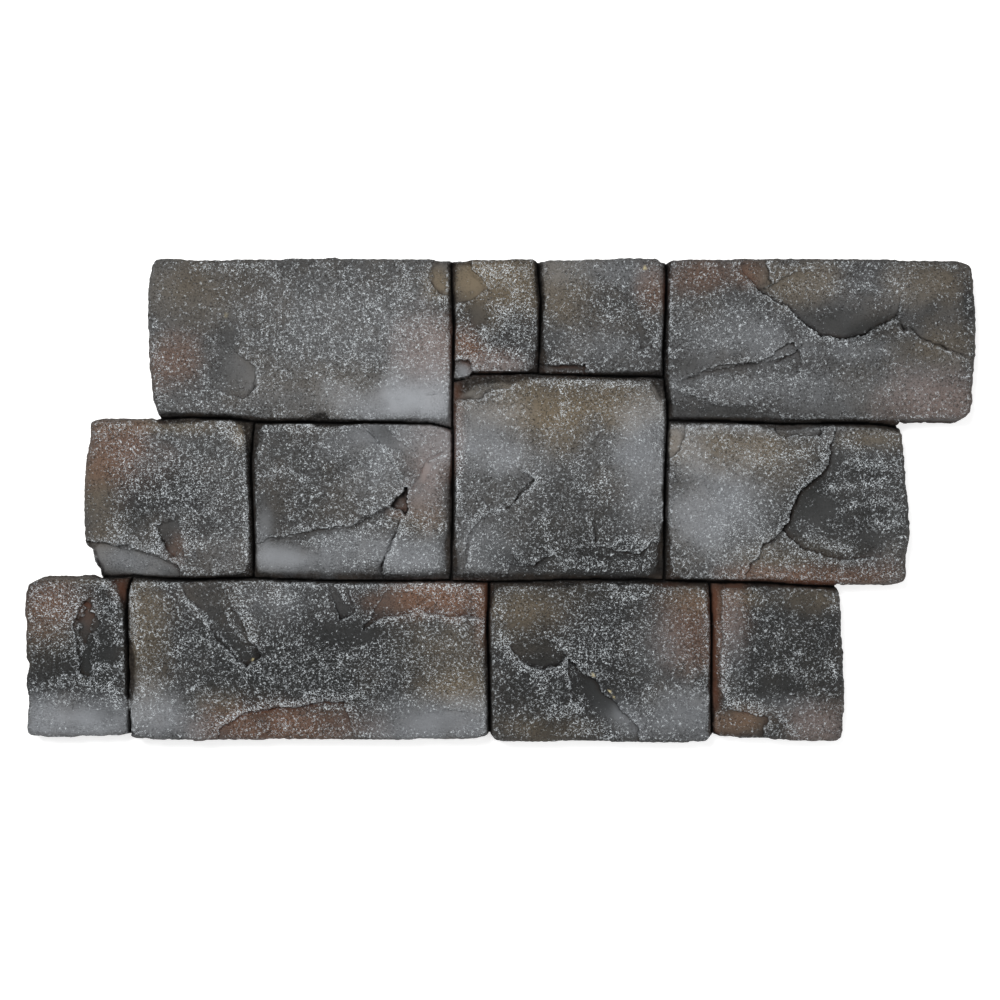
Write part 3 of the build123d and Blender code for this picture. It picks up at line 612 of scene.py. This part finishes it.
# The long slab, in the bottom course
# A smooth facet slants down from its upper edge, and plates have split off its foot and right end.
stone((-477.0, -13.0, -313.5, -104.5), end_right, lower_bed, long_right, bottom_edge, [
    (131, 584), (140, 583), (180, 583), (200, 582.5), (220, 582.5), (240, 581.5), (262, 581.5), (300, 582),
    (325, 583), (365, 583), (400, 582.5), (440, 582.5), (470, 583), (482, 586), (483, 600), (483, 625),
    (482, 650), (483, 680), (484, 700), (485, 715), (485, 733), (470, 735), (430, 735.5), (400, 736),
    (350, 736), (300, 736), (250, 736), (200, 736), (160, 735.5), (137, 734), (132, 730), (131, 715),
    (132, 700), (136, 690), (137, 680), (137, 660), (134, 645), (130, 635), (130, 610), (129, 595)],
    tone=0.4, dry_brush=0.54, seed=1000)
flake([(181, 585), (200, 581), (217, 581), (218, 600), (224, 612), (232, 628), (244, 646), (252, 660),
       (246, 668), (236, 655), (222, 640), (213, 624), (204, 612), (190, 604)], 1.0)
flake([(249, 664), (254, 653), (265, 647), (275, 645), (268, 655), (258, 664)], 1.4)
flake([(327, 582), (337, 586), (342, 597), (352, 610), (346, 616), (341, 622), (336, 619), (329, 609),
       (327, 596)], 1.4, 0.6)
ledge([(305, 588), (308, 603), (313, 610), (317, 622)], 1.4, 14.0)
ledge([(279, 676), (296, 663), (319, 656)], 1.2, 14.0)
ledge([(313, 693), (322, 697), (340, 699), (357, 699), (364, 694)], 1.2, 12.0)
ledge([(218, 725), (235, 717), (250, 712), (265, 709), (300, 706), (315, 703), (326, 700)], 1.6, 22.0)
ledge([(364, 627), (378, 621), (390, 617), (403, 615), (412, 610), (421, 607)][::-1], 1.6, 18.0)
ledge([(425, 614), (440, 613), (450, 612), (462, 616), (479, 617)][::-1], 1.6, 18.0)
crack([(451, 618), (462, 632), (472, 640)], 1.0, 1.6)
ledge([(442, 707), (456, 710), (470, 713), (485, 712)], 1.4, 14.0)
ledge([(224, 612), (229, 628), (240, 637), (246, 645)], 1.0, 10.0)
cleave((368, 632, 14, 9), (430, 722, 40, 8), (132, 668, 5, 24))
spray("ochre", (146, 640, 22, 66, 0.6), (440, 650, 40, 30, 0.4), (452, 688, 34, 18, 0.85),
      (230, 704, 44, 14, 0.5))
spray("soot", (190, 640, 34, 30, 0.45), (218, 622, 14, 30, 0.3), (305, 668, 110, 46, 0.97),
      (305, 692, 60, 14, 0.4), (350, 624, 44, 16, 0.4))
spray("pale", (272, 606, 30, 22, 0.25), (440, 716, 66, 20, 0.6), (440, 734, 60, 8, 0.4),
      (158, 716, 40, 26, 0.7))
spray("rust", (436, 598, 56, 18, 0.95), (482, 606, 10, 28, 0.9), (278, 720, 76, 20, 0.95))
brush((330, 660, 90, 30, 0.05), (385, 602, 34, 12, -0.25), (430, 722, 54, 14, -0.15),
      (340, 632, 34, 12, -0.3), (160, 726, 34, 12, -0.15))
drag([(183, 598), (196, 610), (216, 627), (224, 640), (244, 664)], 3.0, 0.6)
drag([(226, 612), (229, 628), (242, 640)], 3.0, 0.5)
drag([(240, 590), (243, 610), (252, 640)], 5.0, 0.4)
drag([(270, 592), (282, 602), (292, 595)], 6.0, 0.4)
drag([(338, 588), (345, 602), (353, 611)], 3.0, 0.5)
drag([(364, 627), (390, 617), (420, 608)], 3.0, 0.6)
drag([(426, 614), (450, 612), (479, 617)], 3.0, 0.5)
drag([(452, 620), (463, 633)], 3.0, 0.4)
drag([(390, 586), (440, 588), (476, 590)], 6.0, 0.2)
drag([(222, 721), (250, 711), (300, 704), (340, 707)], 4.0, 0.5)
drag([(313, 694), (335, 698), (362, 695)], 4.0, 0.4)
drag([(132, 590), (136, 625), (142, 690)], 5.0, 0.3)
drag([(170, 655), (185, 643), (198, 638)], 6.0, 0.3)
fleck((251, 660, 2.6, 1.2, 50))
# A web of foam closes the joint to the end block, low down.
place, out = oval(127, 705, 8, 11)
bridged[place] = 1.0 - fade(out, 0.4, 1.1)

# The pocket slab, beside the long slab
# A rounded pocket has split out of it, and a slanting ledge is chipped through to the foam.
stone((-13.0, 274.0, -313.5, -104.5), long_right, lower_bed, corner_left, bottom_edge, [
    (497, 592), (502, 588), (520, 588), (540, 588.5), (552, 590), (565, 589), (575, 586.5), (590, 587),
    (600, 585), (612, 584.5), (620, 588), (630, 586), (640, 585), (655, 587), (665, 589), (680, 587),
    (700, 588), (705, 592), (706, 605), (708, 625), (708, 650), (708, 670), (706, 685), (708, 700),
    (707, 715), (705, 728), (704, 737), (690, 738), (650, 739), (610, 738.5), (570, 738), (530, 738),
    (500, 738), (493, 732), (491.5, 715), (491.5, 695), (491, 670), (490.5, 650), (490.5, 630),
    (491.5, 610)], tone=0.38, dry_brush=0.5, seed=1100)
flake([(511, 645), (530, 645), (548, 646), (558, 650), (566, 657), (568, 661), (562, 664), (556, 669),
       (545, 671), (537, 667), (530, 667), (522, 662), (514, 657)], 0.6, 0.5)
crack([(511, 646), (515, 657), (523, 663)], 1.4, 1.6)
cleave((603, 700, 26, 14, -45))
crack([(569, 662), (580, 668), (592, 674), (600, 681), (610, 693), (622, 706)], 1.4, 1.5)
ledge([(530, 700), (540, 685), (556, 671)], 0.9, 12.0)
spray("ochre", (530, 612, 44, 26, 0.55), (590, 590, 30, 8, 0.2), (690, 600, 20, 12, 0.5),
      (540, 653, 26, 9, 0.3), (545, 728, 40, 12, 0.5))
spray("soot", (595, 588, 70, 7, 0.5), (604, 640, 50, 54, 0.72), (556, 684, 70, 44, 0.92),
      (556, 652, 50, 28, 0.45), (608, 612, 40, 24, 0.3), (596, 686, 18, 14, 0.75, -45))
spray("rust", (684, 632, 30, 34, 0.6))
spray("pale", (622, 716, 24, 12, 0.4, -40), (680, 714, 38, 28, 0.5), (655, 645, 26, 30, 0.3),
      (618, 714, 26, 14, 0.3, -40))
brush((525, 618, 26, 24, -0.12), (600, 640, 44, 30, 0.12), (685, 718, 24, 16, -0.12),
      (545, 730, 14, 8, -0.2))
drag([(502, 640), (510, 655), (520, 662), (536, 672)], 6.0, 0.45)
drag([(556, 648), (566, 660), (580, 668)], 4.0, 0.4)
drag([(540, 690), (548, 678), (560, 670)], 5.0, 0.4)
drag([(612, 588), (620, 598), (640, 594)], 6.0, 0.4)
drag([(502, 598), (502, 630), (500, 645)], 5.0, 0.3)
drag([(550, 708), (560, 715), (580, 705)], 8.0, 0.3)
drag([(575, 728), (600, 732), (620, 734)], 6.0, 0.3)
drag([(650, 690), (645, 700), (650, 715)], 4.0, 0.3)
fleck((592, 675, 3.2, 1.2, -40), (609, 692, 2.6, 1.4, -50), (614, 697, 1.4, 1.2))

# The corner block, at the lower right
# Its left edge is broken down to red-brown, and a flake is off its lower corner.
stone((274.0, 446.0, -313.5, -104.5), corner_left, lower_bed, corner_right, bottom_edge, [
    (722, 594), (730, 591.5), (745, 592), (752, 589.5), (770, 588), (790, 588.5), (815, 589), (832, 591),
    (836, 598), (837, 615), (838, 635), (839, 655), (839, 675), (839, 695), (839, 715), (838, 730),
    (835, 737), (810, 737.5), (780, 736), (750, 734.5), (720, 732.5), (716, 728), (716, 715), (722, 709),
    (728, 707.5), (726, 702), (722, 695), (720, 680), (719, 660), (718, 640), (717, 625), (720, 618),
    (721, 605)], tone=0.38, dry_brush=0.5, seed=1200)
flake([(722, 711), (728, 709), (745, 711), (762, 713), (770, 714), (766, 728), (762, 736), (735, 736),
       (716, 733), (714, 718)], 0.6, 0.2)
ledge([(803, 741), (798, 737), (792, 730), (786, 724), (779, 713)], 1.4, 12.0)
ledge([(728, 708), (745, 710), (762, 712), (775, 713)], 1.0, 10.0)
pit(804, 634, 4, 3, 1.2)
spray("rust", (731, 620, 16, 30, 0.7), (714, 650, 7, 60, 0.95), (738, 722, 26, 12, 0.5),
      (815, 720, 28, 18, 0.6))
spray("ochre", (745, 598, 24, 10, 0.5), (810, 600, 30, 12, 0.4), (742, 722, 28, 12, 0.5))
spray("soot", (790, 655, 54, 46, 0.8), (782, 684, 34, 14, 0.35), (832, 670, 12, 30, 0.5),
      (774, 725, 14, 12, 0.6))
spray("pale", (790, 704, 34, 8, 0.3), (734, 640, 10, 34, 0.35), (815, 722, 28, 16, 0.3))
brush((778, 686, 26, 10, -0.2), (810, 605, 24, 14, -0.2), (740, 722, 24, 10, -0.08))
drag([(720, 625), (722, 660), (726, 695), (735, 706)], 6.0, 0.35)
drag([(755, 615), (765, 625), (785, 640)], 9.0, 0.15)
drag([(790, 665), (800, 678)], 7.0, 0.25)
drag([(832, 595), (835, 610)], 5.0, 0.35)
drag([(828, 660), (836, 680)], 6.0, 0.4)
drag([(780, 714), (790, 728), (800, 738)], 3.0, 0.5)
drag([(735, 705), (750, 702), (765, 710)], 5.0, 0.3)

# The skin of the casting
# The heights become one closed skin: the stone faces and joints as a net, flanks dropped from its
# edge to the back with the mould's draft, and a flat back where the foam was screeded off level.


def eased(values, passes):
    """Values in a row round the rim, evened out with their neighbours."""
    for _ in range(passes):
        values = 0.5 * values + 0.25 * (np.roll(values, 1, 0) + np.roll(values, -1, 0))
    return values


def read_off(items, name, width, kind):
    """One value of every corner, edge or face of the skin, in a row."""
    values = np.empty(len(items) * width, kind)
    items.foreach_get(name, values)
    return values


def set_down(name, data, place=(0.0, 0.0, 0.0)):
    """Puts a thing in its place in the scene."""
    made = bpy.data.objects.new(name, data)
    made.location = place
    bpy.context.scene.collection.objects.link(made)
    return made


def soften(field, size):
    """A field blurred over about size millimetres."""
    wave_y = np.fft.fftfreq(field.shape[0], grid_step)[:, None]
    wave_x = np.fft.rfftfreq(field.shape[1], grid_step)[None, :]
    keep = np.exp(-2.0 * (np.pi * size) ** 2 * (wave_x**2 + wave_y**2))
    return np.fft.irfft2(np.fft.rfft2(field) * keep, field.shape)


# From its arris each face falls away into the joint. At the edge of the panel it stays up, and the
# joints run out open.
inside = stone_number > 0
ways = [(shift, axis) for shift in (1, -1) for axis in (0, 1)]
others = [np.roll(stone_number, *way) for way in ways]
far, joint_mouth = 99.0, 6.0
open_air = np.where(inside, far, 0.0)
seam = inside & np.any([(other > 0) & (other != stone_number) for other in others], 0)
to_seam = np.where(seam, 0.0, far)
for _ in range(12):
    open_air = np.minimum.reduce([open_air] + [np.roll(open_air, *way) + grid_step for way in ways])
    to_seam = np.minimum.reduce([to_seam] + [np.roll(to_seam, *way) + grid_step for way in ways])
at_rim = open_air <= from_joint + grid_step
outer = at_rim & (to_seam > joint_mouth)
from_joint = np.where(at_rim, to_seam * (1.0 + to_seam / joint_mouth), from_joint)
face = moulded + relief + torn * (1.0 - 0.6 * soften(cleaved, 1.5))
face -= np.where(outer, 0.2, 0.8) * np.exp(-np.maximum(from_arris, 0.0) / 1.5)
share = np.where(from_arris < 0.0, from_joint / np.maximum(from_joint - from_arris, 0.01), 1.0)
climb = 1.0 - np.clip(1.0 - share, 0.0, 1.0) ** 1.3
in_joint = 0.45 * fade(from_joint, slot - 0.9, slot + 0.7) + 0.55 * climb
climb = np.maximum(in_joint, 0.93 * bridged)
heights = joint_floor + (face - joint_floor) * climb
heights += 1.3 * fade(face - heights, 1.5, 6.0) * roughness(plan_x, plan_y, 8.0, 2, 81)

filled = inside[:-1, :-1] & inside[1:, :-1] & inside[:-1, 1:] & inside[1:, 1:]
for _ in range(3):
    crossed = filled[:-1, :-1] & filled[1:, 1:] & ~filled[1:, :-1] & ~filled[:-1, 1:]
    filled[:-1, :-1][crossed] = False
    crossed = filled[1:, :-1] & filled[:-1, 1:] & ~filled[:-1, :-1] & ~filled[1:, 1:]
    filled[1:, :-1][crossed] = False
number = np.arange(plan_x.size).reshape(plan_x.shape)
corners = [number[:-1, :-1], number[:-1, 1:], number[1:, 1:], number[1:, :-1]]
quads = np.stack([corner[filled] for corner in corners], 1)
padded = np.pad(filled, 1)
beyond = [padded[:-2, 1:-1], padded[1:-1, 2:], padded[2:, 1:-1], padded[1:-1, :-2]]
follows = {}
for side in range(4):
    open_side = filled & ~beyond[side]
    starts, ends = corners[side][open_side], corners[(side + 1) % 4][open_side]
    follows.update(zip(starts.tolist(), ends.tolist()))
rim = [next(iter(follows))]
while follows[rim[-1]] != rim[0]:
    rim.append(follows[rim[-1]])
rim = np.array(rim)
points = np.stack((plan_x.ravel(), plan_y.ravel(), heights.ravel()), 1)
outline = points[rim]
outline[:, :2] = eased(outline[:, :2], 8)
forward = np.roll(outline, -2, 0)[:, :2] - np.roll(outline, 2, 0)[:, :2]
forward /= np.hypot(*forward.T)[:, None]
outward = np.stack((forward[:, 1], -forward[:, 0]), 1)
grown = ((outline - points[rim])[:, :2] * outward).sum(1)
outline[:, :2] -= np.maximum(grown - 0.4, 0.0)[:, None] * outward
# In the inner corners of the steps there is no room for a ragged edge or for draft.
room = np.minimum.reduce([np.roll(grown < 1.0, turn) for turn in range(-6, 7)]).astype(float)
room = eased(room, 12)
ragged_edge = room * (0.9 + 0.8 * roughness(outline[:, 0], outline[:, 1], 7.0, 2, 85))
outline[:, :2] = 1.002 * outline[:, :2] + ragged_edge[:, None] * outward
points[rim] = outline
used, quads = np.unique(quads, return_inverse=True)
quads = quads.reshape(-1, 4)
points = points[used]
first_row = np.searchsorted(used, rim)
leaning = room * eased(0.08 * outline[:, 2], 40)
flank_rows = 10
rows, flanks = [first_row], []
for level in range(1, flank_rows + 1):
    row = outline.copy()
    row[:, 2] *= 1.0 - level / flank_rows
    knock = 0.9 * roughness(row[:, 0] + row[:, 1], 1.7 * row[:, 2] + row[:, 1], 13.0, 3, 91)
    knock = np.minimum(knock, 0.0) * (level < flank_rows)
    row[:, :2] += outward * (leaning * level / flank_rows + knock)[:, None]
    rows.append(len(points) + np.arange(len(rim)))
    points = np.concatenate((points, row))
    upper, lower = rows[-2], rows[-1]
    flanks.append(np.stack((np.roll(upper, -1), upper, lower, np.roll(lower, -1)), 1))
faces = np.concatenate([quads, *flanks]).tolist()
faces.append(rows[-1][::-1].tolist())
raw = bpy.data.meshes.new("casting")
raw.from_pydata((points / 1000.0).tolist(), [], faces)
on_flank = (np.arange(len(faces)) >= len(quads)).astype(np.int32)
on_flank[-1] = 2
raw.polygons.foreach_set("material_index", on_flank)
raw.update()
casting = set_down("panel_casting", raw)
face_limit = 192000.0
thin_out = casting.modifiers.new("thin_out", "DECIMATE")
thin_out.ratio = face_limit / (2.0 * len(faces) + len(rim))
skin = bpy.data.meshes.new_from_object(casting.evaluated_get(bpy.context.evaluated_depsgraph_get()))
casting.modifiers.clear()
casting.data = skin
places = 1000.0 * read_off(skin.vertices, "co", 3, float).reshape(-1, 3)

# The skin also lies flat on a square: the front above, the flanks as a strip below it, then the back.
on_flank = read_off(skin.polygons, "material_index", 1, np.int32)
skin.polygons.foreach_set("material_index", np.zeros_like(on_flank))
sides = read_off(skin.polygons, "loop_total", 1, np.int32)
ends = read_off(skin.loops, "vertex_index", 1, np.int32)
kind = np.repeat(on_flank, sides)
low, high = places.min(0), places.max(0)
flat = ((places - low) / (high - low))[ends]
front_foot, strip_foot, strip_height, back_height = 0.12, 0.04, 0.06, 0.03
nearby = KDTree(len(outline))
for turn, (x, y, _) in enumerate(outline):
    nearby.insert((x, y, 0.0), turn)
nearby.balance()
round_rim = np.zeros(len(ends))
for turn in np.flatnonzero(kind == 1):
    x, y, _ = places[ends[turn]]
    round_rim[turn] = nearby.find((x, y, 0.0))[1] / len(outline)
starts = np.concatenate(([0], np.cumsum(sides)[:-1]))
spread = np.maximum.reduceat(round_rim, starts) - np.minimum.reduceat(round_rim, starts)
round_rim += (np.repeat(spread, sides) > 0.5) & (round_rim < 0.5)
laid = np.stack((flat[:, 0], front_foot + (1.0 - front_foot) * flat[:, 1]), 1)
laid[kind == 1] = np.stack((0.98 * round_rim, strip_foot + strip_height * flat[:, 2]), 1)[kind == 1]
laid[kind == 2, 1] = back_height * flat[kind == 2, 1]
skin.uv_layers.new(name="OFBake").data.foreach_set("uv", laid.astype(np.float32).ravel())

# The paint
# Grey acrylic over the foam, airbrushed with rust, ochre and pale blue-grey. A black wash lies in
# the joints and breaks, and the grain and the edges are dry-brushed in a light grey.
crest = heights - soften(heights, 2.2)
hollow = soften(heights, 5.0) - heights
sunk = face - heights
edge_paint = fade(crest, 0.2, 0.8) * (1.0 - fade(sunk, 4.0, 9.0)) * fade(from_arris, -2.0, 1.0)
flank_paint = np.maximum(0.8 * fade(hollow, 0.8, 2.6), np.where(outer, 0.3, 1.0) * fade(sunk, 1.0, 3.0))
core_paint = np.maximum(fade(hollow, 2.4, 4.2), 1.0 - fade(heights, 20.6, 25.0))
grain_paint = soften(brushed * (1.0 - 0.65 * cleaved), 2.0) - 0.25 * fade(sunk, 2.0, 6.0)
grain_paint += 0.25 * np.clip(face - soften(face, 6.0), -0.8, 0.8)


def at_places(field):
    """A field read off the grid at the skin's own corners."""
    column = np.clip((places[:, 0] - plan_x[0, 0]) / grid_step, 0.0, plan_x.shape[1] - 1.001)
    row = np.clip((places[:, 1] - plan_y[0, 0]) / grid_step, 0.0, plan_x.shape[0] - 1.001)
    left, low = column.astype(int), row.astype(int)
    right, up = column - left, row - low
    lower = field[low, left] * (1.0 - right) + field[low, left + 1] * right
    upper = field[low + 1, left] * (1.0 - right) + field[low + 1, left + 1] * right
    return lower * (1.0 - up) + upper * up


def layer(name, channels):
    """Keeps four fields on the skin as one layer of paint."""
    values = np.stack(channels, 1).astype(np.float32)
    kept = skin.attributes.new(name, "FLOAT_COLOR", "POINT")
    kept.data.foreach_set("color", values.ravel())


stone_level = 43.0
drop = stone_level - places[:, 2]
flank_here = np.maximum(at_places(flank_paint), fade(drop, 12.0, 24.0))
core_here = np.where(places[:, 2] < joint_floor - 1.0, 0.0, at_places(core_paint))
layer("airbrush", [at_places(soften(tints[name], 3.0)) for name in ("rust", "ochre", "pale", "soot")])
layer("brushwork", [at_places(grain_paint), at_places(edge_paint), flank_here, core_here])
layer("undertone", [at_places(soften(undertone, 4.0)), at_places(cream)] + [np.ones(len(places))] * 2)
for polygon in skin.polygons:
    polygon.use_smooth = True
skin.set_sharp_from_angle(angle=0.75)

paint = bpy.data.materials.new("painted_foam")
paint.use_nodes = True
nodes, links = paint.node_tree.nodes, paint.node_tree.links
shader = nodes["Principled BSDF"]
shader.inputs["Roughness"].default_value = 0.85
shader.inputs["Specular IOR Level"].default_value = 0.1


def node(kind, **settings):
    """One node of the paint's make-up."""
    made = nodes.new(kind)
    for name, value in settings.items():
        setattr(made, name, value)
    return made


def wire(source, target):
    """Feeds a socket with a number, a colour or another node's output."""
    if isinstance(source, bpy.types.NodeSocket):
        links.new(source, target)
    else:
        target.default_value = source


def sum_of(operation, first, second, third=None):
    """A sum on numbers."""
    made = node("ShaderNodeMath", operation=operation)
    for source, target in zip((first, second, third), made.inputs):
        if source is not None:
            wire(source, target)
    return made.outputs[0]


def times(first, second):
    """One number times another."""
    return sum_of("MULTIPLY", first, second)


def over(amount, under, top):
    """One colour laid over another."""
    made = node("ShaderNodeMix", data_type="RGBA")
    wire(amount, made.inputs["Factor"])
    wire(under, made.inputs["A"])
    wire(top, made.inputs["B"])
    return made.outputs["Result"]


def ramp(value, start, end, low=0.0, high=1.0):
    """A number taken from one range to another."""
    made = node("ShaderNodeMapRange", interpolation_type="SMOOTHSTEP")
    names = ("Value", "From Min", "From Max", "To Min", "To Max")
    for source, name in zip((value, start, end, low, high), names):
        wire(source, made.inputs[name])
    return made.outputs["Result"]


def paint_layer(name):
    """The four fields of a layer of paint."""
    read = node("ShaderNodeAttribute", attribute_name=name)
    split = node("ShaderNodeSeparateColor")
    wire(read.outputs["Color"], split.inputs[0])
    return [*split.outputs, read.outputs["Alpha"]]


def grain(scale, detail, rough=0.6):
    """A grainy field over the casting, about half on average."""
    made = node("ShaderNodeTexNoise", noise_dimensions="3D")
    wire(position, made.inputs["Vector"])
    wire(scale, made.inputs["Scale"])
    wire(detail, made.inputs["Detail"])
    wire(rough, made.inputs["Roughness"])
    return made.outputs["Fac"]


def shade(red, green, blue):
    """A paint shade, given in steps of 255."""
    values = np.array((red, green, blue)) / 255.0
    linear = np.where(values > 0.04045, ((values + 0.055) / 1.055) ** 2.4, values / 12.92)
    return (*linear.tolist(), 1.0)


place = node("ShaderNodeTexCoord")
position = place.outputs["Object"]
facing = node("ShaderNodeSeparateXYZ")
wire(place.outputs["Normal"], facing.inputs[0])
rust, ochre, pale, soot = paint_layer("airbrush")
dry, edges, flank, core = paint_layer("brushwork")
tone, chips = paint_layer("undertone")[:2]
mottle = grain(22.0, 5.0)
drift = grain(13.0, 3.0)
clump = grain(280.0, 2.0)
crinkle = grain(330.0, 2.0, 0.55)
speckle = grain(440.0, 1.5, 0.6)
ridge = ramp(sum_of("ABSOLUTE", sum_of("SUBTRACT", crinkle, 0.5), 0.0), 0.055, 0.0)

ground = over(ramp(tone, 0.3, 0.6), shade(38, 38, 38), shade(100, 100, 100))
ground = over(ramp(mottle, 0.4, 0.66, 0.0, 0.4), ground, shade(54, 53, 51))
ground = over(ramp(drift, 0.45, 0.68, 0.0, 0.3), ground, shade(84, 76, 66))
ground = over(times(ochre, 0.9), ground, shade(114, 102, 84))
ground = over(times(rust, 0.9), ground, shade(114, 86, 70))
ground = over(times(pale, 0.9), ground, shade(142, 145, 149))
ground = over(times(soot, 0.95), ground, shade(40, 41, 41))
# Dark specks in the grain: partly the dark ground in its pits, partly painted shade in the hollows beside the
# ridges.
grain_pits_and_shade = times(ramp(speckle, 0.52, 0.3, 0.0, 0.8), ramp(dry, 0.0, 0.45, 0.15, 1.0))
grain_pits_and_shade = times(grain_pits_and_shade, ramp(pale, 0.0, 0.8, 1.0, 0.35))
ground = over(grain_pits_and_shade, ground, shade(30, 29, 28))
catch = times(ridge, ramp(sum_of("MULTIPLY_ADD", dry, 0.5, clump), 0.68, 0.98))
ground = over(catch, ground, shade(222, 228, 232))
ragged = times(edges, ramp(speckle, 0.42, 0.6))
ragged = times(ragged, ramp(clump, 0.42, 0.6))
ground = over(times(ragged, 0.5), ground, shade(170, 174, 178))
shadowed = over(ramp(mottle, 0.4, 0.6), shade(18, 16, 15), shade(42, 36, 31))
shadowed = over(rust, shadowed, shade(92, 56, 40))
wash = times(flank, ramp(pale, 0.0, 0.8, 1.0, 0.45))
ground = over(times(wash, ramp(clump, 0.35, 0.65, 0.95, 0.7)), ground, shadowed)
ground = over(times(core, 0.97), ground, shade(14, 13, 12))
ground = over(chips, ground, shade(190, 178, 140))
# The back was never painted. It is the bare foam.
ground = over(ramp(facing.outputs["Z"], -0.9, -0.98), ground, shade(176, 164, 132))
wire(ground, shader.inputs["Base Color"])
bumps = node("ShaderNodeBump")
wire(1.0, bumps.inputs["Strength"])
wire(0.0022, bumps.inputs["Distance"])
rough = sum_of("MULTIPLY_ADD", ridge, 0.2, speckle)
wire(times(rough, ramp(dry, 0.0, 0.5, 0.2, 1.0)), bumps.inputs["Height"])
wire(bumps.outputs["Normal"], shader.inputs["Normal"])
skin.materials.append(paint)
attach(casting, "root")
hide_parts("panel")

# The floor and the light
# A white sheet under the panel, a broad soft light from the head of the panel and a weak fill.
floor_mesh = bpy.data.meshes.new("floor")
floor_mesh.from_pydata([(-6, -6, 0), (6, -6, 0), (6, 6, 0), (-6, 6, 0)], [], [(0, 1, 2, 3)])
floor = set_down("floor", floor_mesh, (0.0, 0.0, -0.0005))
sheet = bpy.data.materials.new("white_sheet")
sheet.use_nodes = True
cloth = sheet.node_tree.nodes["Principled BSDF"]
cloth.inputs["Base Color"].default_value = (0.9, 0.9, 0.9, 1.0)
cloth.inputs["Roughness"].default_value = 1.0
cloth.inputs["Specular IOR Level"].default_value = 0.0
cloth.inputs["Emission Color"].default_value = (0.42, 0.42, 0.42, 1.0)


def in_sight(tree):
    """Whether something is looked at, straight on or by way of a shiny or clear surface."""
    path = tree.nodes.new("ShaderNodeLightPath")
    seen = path.outputs["Is Camera Ray"]
    for way in ("Is Glossy Ray", "Is Transmission Ray"):
        both = tree.nodes.new("ShaderNodeMath")
        tree.links.new(seen, both.inputs[0])
        tree.links.new(path.outputs[way], both.inputs[1])
        seen = both.outputs[0]
    return seen


sheet.node_tree.links.new(in_sight(sheet.node_tree), cloth.inputs["Emission Strength"])
floor_mesh.materials.append(sheet)


def lamp(name, place, size, power):
    """A square soft box, aimed at the middle of the panel."""
    light = bpy.data.lights.new(name, "AREA")
    light.size, light.energy = size, power
    box = set_down(name, light, place)
    box.rotation_euler = (-Vector(place)).to_track_quat("-Z", "Y").to_euler()


lamp("head_light", (-0.9, 1.1, 3.0), 1.2, 94.0)
lamp("fill_light", (1.2, -0.9, 3.0), 2.0, 39.0)
world = bpy.data.worlds.new("room")
world.use_nodes = True
backdrop = world.node_tree.nodes["Background"]
backdrop.inputs["Color"].default_value = (1.0, 1.0, 1.0, 1.0)
lift = world.node_tree.nodes.new("ShaderNodeMath")
lift.operation = "MULTIPLY_ADD"
lift.inputs[1].default_value, lift.inputs[2].default_value = 0.65, 0.35
world.node_tree.links.new(in_sight(world.node_tree), lift.inputs[0])
world.node_tree.links.new(lift.outputs[0], backdrop.inputs["Strength"])
bpy.context.scene.world = world

# The camera
# It hangs straight above the middle of the panel, a little turned, as the photographer had it.
eye = bpy.data.cameras.new("camera")
eye.lens, eye.sensor_width = 70.0, 36.0
camera_reach = 2.5
camera = set_down("camera", eye, (0.0, 0.0, stone_level / 1000.0 + camera_reach))
camera.rotation_euler = (0.0, 0.0, sheet_turn)
bpy.context.scene.camera = camera
bpy.context.scene.view_settings.view_transform = "Standard"
